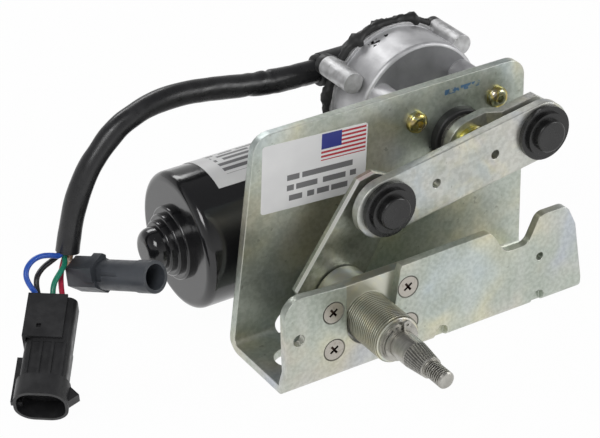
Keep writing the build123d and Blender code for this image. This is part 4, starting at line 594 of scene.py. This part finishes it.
tint = ramp(
    film, thickness.outputs[0],
    (
        (0.30, (0.56, 0.66, 0.76)),
        (0.42, (0.62, 0.69, 0.66)),
        (0.50, (0.80, 0.75, 0.50)),
        (0.58, (0.73, 0.66, 0.54)),
        (0.68, (0.56, 0.60, 0.74)),
    ),
)
spread = add_node(film, "ShaderNodeMapRange", interpolation_type="SMOOTHSTEP")
join(film, where.outputs[0], spread.inputs["Value"])
join(film, 0.40, spread.inputs["From Min"])
join(film, 0.66, spread.inputs["From Max"])
join(film, tint, outside.inputs["Colour"])
join(film, calc(film, "MULTIPLY", spread.outputs[0], inside.outputs["Reach"]), outside.inputs["Mask"])

# %% [markdown]
# Each finish starts from the same few steps, so they are functions: a named material, a group
# placed in it, a bump, rounded edges with a mask of them, and masks from places on the piece.


# %% Helpers for finishes
def finish_named(name, colour, roughness, metallic=0.0, **plain):
    """A new material: its name, tree and Principled shader with plain values set."""
    material = bpy.data.materials.new(name)
    material.use_nodes = True
    tree = material.node_tree
    shader = tree.nodes["Principled BSDF"]
    shader.inputs["Base Color"].default_value = (*colour, 1)
    shader.inputs["Roughness"].default_value = roughness
    shader.inputs["Metallic"].default_value = metallic
    for socket, value in plain.items():
        shader.inputs[socket.replace("_", " ")].default_value = value
    return material, tree, shader


def use(tree, group, **values):
    """A node group placed in a material with its own values."""
    made = tree.nodes.new("ShaderNodeGroup")
    made.node_tree = group
    for label, value in values.items():
        made.inputs[label].default_value = value
    return made.outputs


def relief(tree, shader, height, strength=0.3, distance=0.0002, before=None):
    """A bump from a height, on the shader's normal."""
    bump = tree.nodes.new("ShaderNodeBump")
    bump.inputs["Strength"].default_value = strength
    bump.inputs["Distance"].default_value = distance
    join(tree, height, bump.inputs["Height"])
    if before is not None:
        join(tree, before, bump.inputs["Normal"])
    join(tree, bump.outputs[0], shader.inputs["Normal"])
    return bump.outputs[0]


def place_of(tree):
    """Object coordinates, as a vector and as three numbers."""
    coords = tree.nodes.new("ShaderNodeTexCoord")
    parts = tree.nodes.new("ShaderNodeSeparateXYZ")
    join(tree, coords.outputs["Object"], parts.inputs[0])
    return coords.outputs["Object"], parts.outputs


def rounded_edges(tree, width=0.0007):
    """A normal that rounds sharp edges, and a mask of those edges."""
    soft = add_node(tree, "ShaderNodeBevel", samples=6)
    soft.inputs["Radius"].default_value = width
    flat = tree.nodes.new("ShaderNodeNewGeometry")
    facing = add_node(tree, "ShaderNodeVectorMath", operation="DOT_PRODUCT")
    join(tree, soft.outputs[0], facing.inputs[0])
    join(tree, flat.outputs["Normal"], facing.inputs[1])
    return soft.outputs[0], ramp(tree, facing.outputs["Value"], ((0.86, 1.0), (0.995, 0.0)))


def band(tree, value, low, high):
    """1 where a value lies between two limits, 0 elsewhere."""
    above = calc(tree, "GREATER_THAN", value, low)
    return calc(tree, "MULTIPLY", above, calc(tree, "LESS_THAN", value, high))


def reach_from(tree, across, up, centre=(0.0, 0.0)):
    """Distance from a point, in the plane of two coordinates."""
    first = calc(tree, "SUBTRACT", across, centre[0])
    second = calc(tree, "SUBTRACT", up, centre[1])
    squares = calc(tree, "ADD", calc(tree, "POWER", first, 2.0), calc(tree, "POWER", second, 2.0))
    return calc(tree, "SQRT", squares)


def dress(material, *names):
    """A finish goes on CAD nodes or new pieces."""
    for name in names:
        piece = nodes[name] if isinstance(name, str) else name
        piece.data.materials.clear()
        piece.data.materials.append(material)
    return material


# %% [markdown]
# ## Zinc-plated steel sheet
# The bracket is pressed from sheet steel and then zinc plated. Plating is a pale grey with a
# green cast. Its film gives patches of straw, pink and blue, and the satin surface is a little
# streaky where the solution ran off.

# %% Finish: bracket
def zinc_sheet(name, dark, pale, scale, reach, shift=(0.0, 0.0, 0.0)):
    """Zinc plate: cloudy tone, thin rainbow film, smudges, specks, scratches, and edges lightened as worn
    plating and painted highlight.
    """
    material, tree, shader = finish_named(name, pale, 0.36, 0.86)
    cloud = use(tree, patches, Scale=scale, Detail=8.0, Low=0.30, High=0.70, Place=shift)["Mask"]
    tone = ramp(tree, cloud, ((0.0, dark), (1.0, pale)))
    colours = use(tree, film, Scale=scale * 1.3, Reach=reach, Place=shift)
    tone = blend_colours(tree, colours["Mask"], tone, colours["Colour"])
    smudge = use(tree, patches, Scale=scale * 2.1, Detail=9.0, Low=0.58, High=0.74, Place=shift)
    tone = blend_colours(tree, calc(tree, "MULTIPLY", smudge["Mask"], 0.30), tone, (0.31, 0.33, 0.21))
    runs = use(tree, brushed, Stretch=(70.0, 70.0, 9.0))["Lines"]
    tone = blend_colours(tree, ramp(tree, runs, ((0.50, 0.0), (0.72, 0.30))), tone, (0.74, 0.74, 0.69))
    grit = use(tree, patches, Scale=520.0, Detail=3.0, Low=0.35, High=0.65)["Mask"]
    tone = blend_colours(tree, 0.16, tone, ramp(tree, grit, ((0.0, 0.22), (1.0, 0.80))))
    specks = use(tree, patches, Scale=310.0, Detail=2.0, Low=0.70, High=0.75)["Mask"]
    tone = blend_colours(tree, calc(tree, "MULTIPLY", specks, 0.45), tone, (0.20, 0.20, 0.16))
    rounded, edge_wear_and_highlight = rounded_edges(tree)
    # Edges are painted lighter: partly bare worn plating, partly a painted highlight.
    tone = blend_colours(tree, calc(tree, "MULTIPLY", edge_wear_and_highlight, 0.35), tone, (0.82, 0.82, 0.77))
    gloss = use(tree, patches, Scale=45.0, Detail=6.0, Low=0.3, High=0.7, Place=(0.3, 0.1, 0.0))["Mask"]
    scratch = use(tree, brushed, Stretch=(35.0, 900.0, 900.0))["Lines"]
    rough = ramp(tree, gloss, ((0.0, 0.30), (1.0, 0.46)))
    scored = ramp(tree, scratch, ((0.60, 0.0), (0.72, 0.5)))
    join(tree, blend_colours(tree, scored, rough, (0.22, 0.22, 0.22)), shader.inputs["Roughness"])
    height = calc(tree, "ADD", use(tree, cast_grain, Scale=650.0, Pits=0.3)["Height"], scratch)
    relief(tree, shader, height, 0.16, 0.0001, rounded)
    return material, tree, shader, tone


bracket_finish, tree, shader, tone = zinc_sheet(
    "zinc_plate", (0.40, 0.45, 0.38), (0.57, 0.62, 0.55), 11.0, 0.72
)
_, spot = place_of(tree)
SCREW_PLACE = (0.0192, 0.0095)
across = calc(tree, "ABSOLUTE", spot["X"])
height = calc(tree, "ABSOLUTE", spot["Z"])
# A dark ring round each of the carrier's screws on the plate's front: painted shade in the gap round the
# head.
screw_gap_shade = band(tree, reach_from(tree, across, height, SCREW_PLACE), 0.0047, 0.00555)
screw_gap_shade = calc(tree, "MULTIPLY", screw_gap_shade, calc(tree, "LESS_THAN", spot["Y"], 0.002))
tone = blend_colours(tree, calc(tree, "MULTIPLY", screw_gap_shade, 0.8), tone, (0.08, 0.075, 0.06))
smear = calc(tree, "MULTIPLY", band(tree, spot["X"], 0.0675, 0.0865), band(tree, spot["Z"], 0.0710, 0.0736))
smear = calc(tree, "MULTIPLY", smear, band(tree, spot["Y"], 0.0425, 0.0435))
broken = use(tree, patches, Scale=480.0, Detail=1.0, Low=0.42, High=0.54, Place=(0.0, 0.4, 0.2))["Mask"]
smear = calc(tree, "MULTIPLY", calc(tree, "MULTIPLY", smear, broken), 0.9)
join(tree, blend_colours(tree, smear, tone, (0.10, 0.24, 0.46)), shader.inputs["Base Color"])
dress(bracket_finish, "bracket")

# %% [markdown]
# The crank, the link and the lever are cut from the same plated sheet. The lever is painted darker
# and greener as shade, and the front part of its side carries a painted highlight, a bright line.

# %% Finish: linkage bars
LIT_SIDE_DEPTH = 0.0284   # the bright half of the lever's edge is in front of this
bar_finish, tree, shader, tone = zinc_sheet(
    "zinc_bar", (0.50, 0.52, 0.48), (0.64, 0.64, 0.58), 34.0, 0.40, (0.2, 0.0, 0.1)
)
join(tree, tone, shader.inputs["Base Color"])
dress(bar_finish, "link_bar", "crank_arm")
# The lever's finish is a darker, greener copy of the plated sheet: painted shade.
lever_shade_finish, tree, shader, tone = zinc_sheet(
    "zinc_lever_shade", (0.24, 0.27, 0.20), (0.38, 0.40, 0.32), 30.0, 0.30, (0.1, 0.3, 0.0)
)
shape = tree.nodes.new("ShaderNodeNewGeometry")
towards = tree.nodes.new("ShaderNodeSeparateXYZ")
join(tree, shape.outputs["True Normal"], towards.inputs[0])
# The front part of the lever's side is painted near white: a painted highlight.
lit_side = calc(tree, "LESS_THAN", calc(tree, "ABSOLUTE", towards.outputs["Y"]), 0.5)
_, spot = place_of(tree)
lit_side = calc(tree, "MULTIPLY", lit_side, calc(tree, "LESS_THAN", spot["Y"], LIT_SIDE_DEPTH))
join(tree, blend_colours(tree, lit_side, tone, (0.92, 0.92, 0.88)), shader.inputs["Base Color"])
dress(lever_shade_finish, "lever")

# %% [markdown]
# ## Castings
# The gearbox drum is die-cast aluminium: bright, a little grainy, with a smoother disc on its
# front that is painted darker as shade, and a painted highlight along its edges. Its ears are
# mottled, and two ragged blots of sealant stick to its wall.

# %% Finish: gearbox
DRUM_FRONT = 0.0720
DISC_RADIUS = 0.0312
EAR_REACH = 0.0335       # the ears stand outside this
BLOT_DEPTH = 0.0900
BLOTS = (((0.0608, 0.0800), 0.0027), ((0.0676, 0.0822), 0.0013))   # place, size
drum_finish, tree, shader = finish_named("cast_drum", (0.68, 0.68, 0.69), 0.48, 0.76)
tone = ramp(
    tree, use(tree, patches, Scale=55.0, Detail=7.0, Low=0.3, High=0.7)["Mask"],
    ((0.0, (0.52, 0.52, 0.53)), (1.0, (0.74, 0.74, 0.75))),
)
_, spot = place_of(tree)
inside_rim = calc(tree, "LESS_THAN", reach_from(tree, spot["X"], spot["Z"], HUB), DISC_RADIUS)
on_front = band(tree, spot["Y"], DRUM_FRONT - 0.0004, DRUM_FRONT + 0.0008)
disc = calc(tree, "MULTIPLY", inside_rim, on_front)
# The front disc is painted darker: painted shade.
tone = blend_colours(tree, calc(tree, "MULTIPLY", disc, 0.72), tone, (0.20, 0.20, 0.21))
specks = use(tree, patches, Scale=230.0, Detail=3.0, Low=0.71, High=0.75)["Mask"]
specks = calc(tree, "MULTIPLY", specks, calc(tree, "SUBTRACT", 1.0, disc))
tone = blend_colours(tree, specks, tone, (0.06, 0.06, 0.06))
on_boss = calc(tree, "GREATER_THAN", reach_from(tree, spot["X"], spot["Z"], HUB), EAR_REACH)
mottle = use(tree, patches, Scale=250.0, Detail=9.0, Low=0.30, High=0.70)["Mask"]
mottled = ramp(tree, mottle, ((0.0, (0.36, 0.36, 0.35)), (1.0, (0.80, 0.80, 0.80))))
tone = blend_colours(tree, calc(tree, "MULTIPLY", on_boss, 0.50), tone, mottled)
for place, size in BLOTS:
    ragged = use(tree, patches, Scale=700.0, Detail=3.0, Low=0.35, High=0.65)["Mask"]
    far = reach_from(tree, spot["X"], spot["Z"], place)
    far = calc(tree, "MULTIPLY", reach_from(tree, far, spot["Y"], (0.0, BLOT_DEPTH)), 1 / size)
    blot = calc(tree, "LESS_THAN", calc(tree, "ADD", far, ragged), 1.2)
    tone = blend_colours(tree, blot, tone, (0.02, 0.02, 0.02))
rounded, edge_wear_and_highlight = rounded_edges(tree, 0.0005)
# Edges are painted lighter: a painted highlight.
tone = blend_colours(tree, calc(tree, "MULTIPLY", edge_wear_and_highlight, 0.5), tone, (0.88, 0.88, 0.90))
join(tree, tone, shader.inputs["Base Color"])
swirl = use(tree, brushed, Stretch=(160.0, 40.0, 160.0))["Lines"]
join(tree, ramp(tree, swirl, ((0.3, 0.40), (0.7, 0.62))), shader.inputs["Roughness"])
relief(tree, shader, use(tree, cast_grain, Scale=900.0, Pits=0.5)["Height"], 0.34, 0.00014, rounded)
dress(drum_finish, "gear_housing")

# %% [markdown]
# The spindle carrier is a zinc-plated casting whose bush carries a fine thread. At this scale a
# zigzag height along the bush makes it, and a second, steeper one breaks up its glints. The
# thread's grooves are painted dark, as shade.

# %% Finish: spindle carrier
BUSH_PITCH = 0.0013
BUSH_REACH = 0.0116      # just outside the bush
BUSH_THREAD = (-0.0202, 0.004)
carrier_finish, tree, shader = finish_named("zinc_carrier", (0.60, 0.60, 0.50), 0.34, 0.90)
colours = use(tree, film, Scale=60.0, Reach=0.6)
tone = blend_colours(tree, colours["Mask"], (0.64, 0.64, 0.55), colours["Colour"])
_, spot = place_of(tree)
on_bush = calc(tree, "LESS_THAN", reach_from(tree, spot["X"], spot["Z"]), BUSH_REACH)
threaded = calc(tree, "MULTIPLY", on_bush, band(tree, spot["Y"], *BUSH_THREAD))
turn = calc(tree, "ARCTAN2", spot["Z"], spot["X"])
thread = calc(tree, "ADD", spot["Y"], calc(tree, "MULTIPLY", turn, BUSH_PITCH / (2 * math.pi)))
teeth = calc(tree, "MULTIPLY", calc(tree, "PINGPONG", thread, BUSH_PITCH / 2), 2 / BUSH_PITCH)
cross = calc(tree, "ADD", spot["Y"], calc(tree, "MULTIPLY", turn, 0.0105))
cross = calc(tree, "MULTIPLY", calc(tree, "PINGPONG", cross, 0.0004), 2500.0)
height = calc(tree, "ADD", calc(tree, "MULTIPLY", teeth, 0.7), calc(tree, "MULTIPLY", cross, 0.3))
# The thread's grooves are painted dark: painted shade.
groove_shade = calc(tree, "MULTIPLY", calc(tree, "SUBTRACT", 1.0, height), threaded)
groove_shade = ramp(tree, groove_shade, ((0.15, 0.0), (0.75, 0.9)))
tone = blend_colours(tree, groove_shade, tone, (0.10, 0.095, 0.045))
join(tree, tone, shader.inputs["Base Color"])
rounded, _ = rounded_edges(tree)
relief(tree, shader, calc(tree, "MULTIPLY", height, threaded), 1.0, 0.0005, rounded)
dress(carrier_finish, "pivot_housing")

# %% [markdown]
# ## Gloss black can
# The motor can is deep drawn and enamelled. Gloss enamel is a black coat over a black ground
# with a trace of orange peel, seen only as a slight wander of the reflections.

# %% Finish: motor can
can_finish, tree, shader = finish_named(
    "gloss_enamel", (0.010, 0.010, 0.011), 0.16, 0.0, Coat_Weight=0.4, Coat_Roughness=0.06
)
peel = use(tree, patches, Scale=160.0, Detail=2.0, Low=0.2, High=0.8)["Mask"]
join(tree, ramp(tree, peel, ((0.0, 0.13), (1.0, 0.22))), shader.inputs["Roughness"])
relief(tree, shader, peel, 0.05, 0.0002)
dress(can_finish, "motor_can")

# %% [markdown]
# ## Plastics and rubber
# Plugs are moulded nylon, matt with a fine grain. The sleeve is softer and shines on its
# creases. The caps of the linkage are black acetal with a satin top.


# %% Finish: mouldings
def moulding(name, colour, low, high, grain=1500.0, strength=0.12):
    """A moulded plastic: slight colour drift, drifting gloss and a fine grain."""
    material, tree, shader = finish_named(name, colour, low)
    drift = use(tree, patches, Scale=70.0, Detail=5.0, Low=0.3, High=0.7)["Mask"]
    lighter = tuple(min(1.0, c * 1.45 + 0.004) for c in colour)
    tone = ramp(tree, drift, ((0.0, colour), (1.0, lighter)))
    join(tree, tone, shader.inputs["Base Color"])
    wear = use(tree, patches, Scale=240.0, Detail=3.0, Low=0.3, High=0.7, Place=(0.1, 0.2, 0.3))["Mask"]
    join(tree, ramp(tree, wear, ((0.0, low), (1.0, high))), shader.inputs["Roughness"])
    relief(tree, shader, use(tree, cast_grain, Scale=grain, Pits=0.3)["Height"], strength, 0.0001)
    return material


dress(moulding("black_nylon", (0.013, 0.013, 0.014), 0.34, 0.52), "plug4_body", "plug4_lock")
dress(moulding("slate_nylon", (0.045, 0.050, 0.058), 0.34, 0.50), "plug1_body", "plug1_lock")
dress(moulding("black_cap", (0.009, 0.009, 0.009), 0.20, 0.34), "crank_bushing", "lever_bushing")
dress(moulding("soft_vinyl", (0.014, 0.014, 0.015), 0.24, 0.40, 260.0, 0.16), sheath)
dress(moulding("black_rubber", (0.018, 0.018, 0.018), 0.5, 0.7, 900.0, 0.3), "grommet")
dress(moulding("sealant", (0.014, 0.014, 0.014), 0.35, 0.65, 420.0, 0.8), bead)
dress(moulding("dark_cover", (0.022, 0.022, 0.023), 0.40, 0.55), "gear_cover")
WIRE_COLOURS = {
    "wire_blue": (0.020, 0.085, 0.42),
    "wire_black": (0.016, 0.016, 0.016),
    "wire_green": (0.012, 0.20, 0.12),
    "wire_red": (0.42, 0.015, 0.045),
    "wire_tan": (0.66, 0.42, 0.26),
}
for name, colour in WIRE_COLOURS.items():
    dress(moulding(name + "_vinyl", colour, 0.28, 0.36, 900.0, 0.03), wires[name])

# %% [markdown]
# ## Steel, bronze and copper
# The spindle and the shafts are ground steel, the screws are plated, and the pieces inside the
# motor and gearbox have the finishes that a teardown shows.


# %% Finish: metals
def metal(name, colour, low, high, stretch=(300.0, 300.0, 300.0), stain=0.25, dark=(0.2, 0.19, 0.17)):
    """A worked metal: lines of its tool, drifting gloss and slight stains."""
    material, tree, shader = finish_named(name, colour, low, 0.92)
    lines = use(tree, brushed, Stretch=stretch)["Lines"]
    join(tree, ramp(tree, lines, ((0.3, low), (0.7, high))), shader.inputs["Roughness"])
    stains = use(tree, patches, Scale=130.0, Detail=5.0, Low=0.45, High=0.8)["Mask"]
    share = calc(tree, "MULTIPLY", stains, stain)
    join(tree, blend_colours(tree, share, colour, dark), shader.inputs["Base Color"])
    relief(tree, shader, lines, 0.12, 0.0001)
    return material


ground_steel = metal("ground_steel", (0.50, 0.49, 0.45), 0.22, 0.42, (500.0, 900.0, 500.0), 0.5)
dress(ground_steel, "steel_washer", "wave_washer", "circlip", "thrust_washer")
dress(ground_steel, "output_shaft", "armature_shaft", "crank_pin", "link_pin", "lever_stud")
dress(ground_steel, "lever_nut", "front_bearing", "rear_bearing", "brush_springs")
plated = metal("plated_steel", (0.56, 0.55, 0.51), 0.24, 0.40)
dress(plated, "cover_screws", "can_screws")
bronze = metal("sintered_bronze", (0.50, 0.34, 0.17), 0.40, 0.60)
dress(bronze, "front_sleeve", "rear_sleeve", "output_sleeve")
copper = metal("bare_copper", (0.62, 0.28, 0.14), 0.25, 0.42)
dress(copper, "windings", "commutator", "contact_fingers")
tinned = metal("tinned_brass", (0.66, 0.64, 0.58), 0.22, 0.36)
dress(tinned, "plug4_pins", "plug1_pin")
core = metal("stacked_steel", (0.32, 0.32, 0.33), 0.40, 0.55, (2500.0, 30.0, 30.0))
dress(core, "rotor_core")
dress(moulding("wheel_acetal", (0.66, 0.63, 0.55), 0.35, 0.50), "worm_wheel")
dress(metal("park_disc_copper", (0.60, 0.33, 0.18), 0.30, 0.45), "park_disc")
dress(moulding("laminate", (0.17, 0.09, 0.035), 0.45, 0.60), "contact_card", "brush_card")
dress(moulding("ferrite", (0.055, 0.055, 0.06), 0.55, 0.75), "magnets")
dress(moulding("carbon", (0.03, 0.03, 0.032), 0.45, 0.65), "brushes")

# %% [markdown]
# The spindle is ground where it runs in its bush. Its taper is knurled, so that a wiper arm
# bites on it, and the lines of the knurl lean a little. Depth and painted shade are both read from
# the same line pattern, so the knurl's grooves are painted darker where they are deeper, and the
# grooves of the tip's thread are painted dark as shade too.

# %% Finish: spindle
KNURLS = 30
TIP_PITCH = 0.00125
TAPER = (-0.0452, -0.0345)
TIP = (-0.0562, -0.0463)
spindle_finish, tree, shader = finish_named("spindle_steel", (0.46, 0.45, 0.42), 0.34, 0.92)
_, spot = place_of(tree)
turn = calc(tree, "ARCTAN2", spot["Z"], spot["X"])
lean = calc(tree, "MULTIPLY", spot["Y"], 90.0)
lines = calc(tree, "ADD", calc(tree, "MULTIPLY", turn, KNURLS / (2 * math.pi)), lean)
ridge = calc(tree, "MULTIPLY", calc(tree, "PINGPONG", lines, 0.5), 2.0)
on_taper = band(tree, spot["Y"], *TAPER)
knurl_shade = calc(tree, "MULTIPLY", calc(tree, "SUBTRACT", 1.0, ridge), on_taper)
worn = use(tree, brushed, Stretch=(160.0, 1200.0, 160.0))["Lines"]
tone = ramp(tree, worn, ((0.3, (0.36, 0.35, 0.32)), (0.7, (0.55, 0.54, 0.50))))
# The knurl's grooves are painted darker: painted shade.
tone = blend_colours(tree, calc(tree, "MULTIPLY", knurl_shade, 0.75), tone, (0.09, 0.085, 0.07))
chipped = use(tree, patches, Scale=900.0, Detail=2.0, Low=0.35, High=0.65)["Mask"]
thread = calc(tree, "ADD", spot["Y"], calc(tree, "MULTIPLY", chipped, 0.00022))
thread = calc(tree, "PINGPONG", calc(tree, "ADD", thread, 0.04714), TIP_PITCH / 2)
thread = ramp(tree, calc(tree, "MULTIPLY", thread, 2 / TIP_PITCH), ((0.15, 1.0), (0.75, 0.0)))
on_tip = band(tree, spot["Y"], *TIP)
# The tip's thread grooves are painted dark: painted shade.
tone = blend_colours(tree, calc(tree, "MULTIPLY", thread, on_tip), tone, (0.07, 0.062, 0.045))
join(tree, tone, shader.inputs["Base Color"])
join(tree, ramp(tree, worn, ((0.3, 0.28), (0.7, 0.44))), shader.inputs["Roughness"])
rounded, _ = rounded_edges(tree, 0.0004)
relief(tree, shader, calc(tree, "MULTIPLY", ridge, on_taper), 0.9, 0.0005, rounded)
dress(spindle_finish, "spindle")

# %% [markdown]
# The carrier's four screws have a cross recess. Whatever lies deeper than the head's face is
# painted nearly black, as shade in the recess.

# %% Finish: countersunk screws
cross_finish, tree, shader = finish_named("cross_screw", (0.60, 0.59, 0.56), 0.30, 0.9)
_, spot = place_of(tree)
recess_shade = calc(tree, "GREATER_THAN", spot["Y"], 0.0003)
grime = use(tree, patches, Scale=500.0, Detail=4.0, Low=0.5, High=0.8)["Mask"]
tone = blend_colours(tree, calc(tree, "MULTIPLY", grime, 0.6), (0.50, 0.47, 0.42), (0.28, 0.24, 0.19))
# The recess is painted nearly black: painted shade.
join(tree, blend_colours(tree, recess_shade, tone, (0.045, 0.028, 0.022)), shader.inputs["Base Color"])
relief(tree, shader, grime, 0.08, 0.0001)
dress(cross_finish, "pivot_screws")

# %% [markdown]
# Black rubber closes the output shaft's hole, and a bright metal ring shows in it.

# %% Finish: shaft seal
SEAL_RING = (0.0094, 0.0112)
seal_finish, tree, shader = finish_named("seal_rubber", (0.018, 0.018, 0.018), 0.45)
_, spot = place_of(tree)
ring = band(tree, reach_from(tree, spot["X"], spot["Z"], HUB), *SEAL_RING)
tone = blend_colours(tree, ring, (0.018, 0.018, 0.018), (0.50, 0.50, 0.48))
join(tree, tone, shader.inputs["Base Color"])
join(tree, calc(tree, "MULTIPLY", ring, 0.9), shader.inputs["Metallic"])
relief(tree, shader, use(tree, cast_grain, Scale=900.0, Pits=0.3)["Height"], 0.2, 0.0001)
dress(seal_finish, "shaft_seal")

# %% [markdown]
# The mounting screws and the crank's nut are chromated yellow. The same rainbow film lies over
# them, but stronger, and dark stains lie on them in patches.


# %% Finish: yellow zinc
def yellow_zinc(name, tint, reach):
    """Chromated zinc: its own yellow under a strong rainbow film."""
    material, tree, shader = finish_named(name, tint, 0.24, 0.95)
    colours = use(tree, film, Scale=170.0, Reach=1.0)
    vivid = add_node(tree, "ShaderNodeHueSaturation")
    vivid.inputs["Saturation"].default_value = 2.6
    join(tree, colours["Colour"], vivid.inputs["Color"])
    tone = blend_colours(tree, reach, tint, vivid.outputs[0])
    stains = use(tree, patches, Scale=300.0, Detail=4.0, Low=0.5, High=0.8)["Mask"]
    tone = blend_colours(tree, calc(tree, "MULTIPLY", stains, 0.75), tone, (0.13, 0.11, 0.06))
    join(tree, tone, shader.inputs["Base Color"])
    rounded, _ = rounded_edges(tree, 0.0004)
    relief(tree, shader, use(tree, cast_grain, Scale=900.0, Pits=0.2)["Height"], 0.08, 0.0001, rounded)
    return material


dress(yellow_zinc("olive_zinc", (0.44, 0.37, 0.16), 0.30), "mount_screws")
dress(yellow_zinc("iridescent_zinc", (0.62, 0.58, 0.16), 0.40), "crank_nut")

# %% [markdown]
# ## Stickers
# Both labels are plain white film. Their print is left as grey bars with no words, and the
# striped corner is a plain pattern of red bars beside a blue block.

# %% Group: print rows
print_rows, inside, outside = new_group(
    "print_rows",
    {"Across": 0.0, "Up": 0.0, "Pitch": 0.006, "Seed": 0.0, "Break": 0.42},
    {"Mask": "NodeSocketFloat"},
)
row = calc(print_rows, "DIVIDE", inside.outputs["Up"], inside.outputs["Pitch"])
line = calc(print_rows, "FLOOR", row)
thick = calc(print_rows, "GREATER_THAN", calc(print_rows, "SUBTRACT", row, line), 0.45)
gaps = add_node(print_rows, "ShaderNodeTexNoise", noise_dimensions="1D")
gaps.inputs["Scale"].default_value = 1.0
gaps.inputs["Detail"].default_value = 0.0
jump = calc(print_rows, "ADD", calc(print_rows, "MULTIPLY", line, 7.3), inside.outputs["Seed"])
along = calc(print_rows, "MULTIPLY", inside.outputs["Across"], 210.0)
join(print_rows, calc(print_rows, "ADD", along, jump), gaps.inputs["W"])
word = calc(print_rows, "GREATER_THAN", gaps.outputs[0], inside.outputs["Break"])
join(print_rows, calc(print_rows, "MULTIPLY", thick, word), outside.inputs["Mask"])

# %% [markdown]
# The plate's label lies flat and is stuck on a little askew, so its print is laid out in axes
# turned with it. The other label is wrapped round the can, so its rows run round the can's axis.


# %% Finish: stickers
def white_film(name):
    """Plain white sticker film, and its colour before any print."""
    material, tree, shader = finish_named(name, (0.82, 0.82, 0.82), 0.34, 0.0)
    cloud = use(tree, patches, Scale=60.0, Detail=5.0, Low=0.3, High=0.7)["Mask"]
    tone = ramp(tree, cloud, ((0.0, (0.76, 0.76, 0.76)), (1.0, (0.82, 0.82, 0.815))))
    return material, tree, shader, tone


def field(tree, across, up, box):
    """1 inside a rectangle of two coordinates: left, bottom, right, top."""
    wide = band(tree, across, box[0], box[2])
    return calc(tree, "MULTIPLY", wide, band(tree, up, box[1], box[3]))


INK = (0.07, 0.07, 0.075)
LABEL_TILT = math.radians(-3.7)
LABEL_CENTRE = (-0.0013, 0.0550)
plate_film, tree, shader, tone = white_film("plate_film")
_, spot = place_of(tree)
side = calc(tree, "SUBTRACT", spot["X"], LABEL_CENTRE[0])
rise = calc(tree, "SUBTRACT", spot["Z"], LABEL_CENTRE[1])
cosine, sine = math.cos(LABEL_TILT), math.sin(LABEL_TILT)
across = calc(tree, "ADD", calc(tree, "MULTIPLY", side, cosine), calc(tree, "MULTIPLY", rise, sine))
up = calc(tree, "SUBTRACT", calc(tree, "MULTIPLY", rise, cosine), calc(tree, "MULTIPLY", side, sine))
STRIPES = (0.0031, 0.0030, 0.0262, 0.0160)
BLUE_BLOCK = (0.0031, 0.0085, 0.0135, 0.0160)
PLATE_WORDS = (-0.0140, -0.0145, 0.0218, 0.0005)
stripe = calc(tree, "PINGPONG", calc(tree, "SUBTRACT", up, STRIPES[1]), 0.00100)
stripe = calc(tree, "LESS_THAN", stripe, 0.00050)
flagged = field(tree, across, up, STRIPES)
tone = blend_colours(tree, flagged, tone, (0.78, 0.78, 0.78))
tone = blend_colours(tree, calc(tree, "MULTIPLY", flagged, stripe), tone, (0.46, 0.035, 0.05))
tone = blend_colours(tree, field(tree, across, up, BLUE_BLOCK), tone, (0.035, 0.045, 0.24))
rows = use(tree, print_rows, Pitch=0.0050, Seed=2.4, Break=0.38)
made = rows["Mask"].node
join(tree, across, made.inputs["Across"])
join(tree, up, made.inputs["Up"])
words = calc(tree, "MULTIPLY", rows["Mask"], field(tree, across, up, PLATE_WORDS))
join(tree, blend_colours(tree, calc(tree, "MULTIPLY", words, 0.85), tone, INK), shader.inputs["Base Color"])
dress(plate_film, "plate_label")

CAN_AXIS = (0.0840, 0.0136)
CAN_RADIUS = 0.0323
can_film, tree, shader, tone = white_film("can_film")
_, spot = place_of(tree)
back = calc(tree, "SUBTRACT", spot["Y"], CAN_AXIS[0])
rise = calc(tree, "SUBTRACT", spot["Z"], CAN_AXIS[1])
around = calc(tree, "MULTIPLY", calc(tree, "ARCTAN2", rise, back), -CAN_RADIUS)
rows = use(tree, print_rows, Pitch=0.0042, Seed=5.1, Break=0.36)
made = rows["Mask"].node
join(tree, spot["X"], made.inputs["Across"])
join(tree, around, made.inputs["Up"])
words = calc(tree, "MULTIPLY", rows["Mask"], calc(tree, "GREATER_THAN", spot["X"], -0.0270))
words = calc(tree, "MULTIPLY", words, calc(tree, "GREATER_THAN", around, -0.0590))
join(tree, blend_colours(tree, calc(tree, "MULTIPLY", words, 0.85), tone, INK), shader.inputs["Base Color"])
dress(can_film, "can_label")
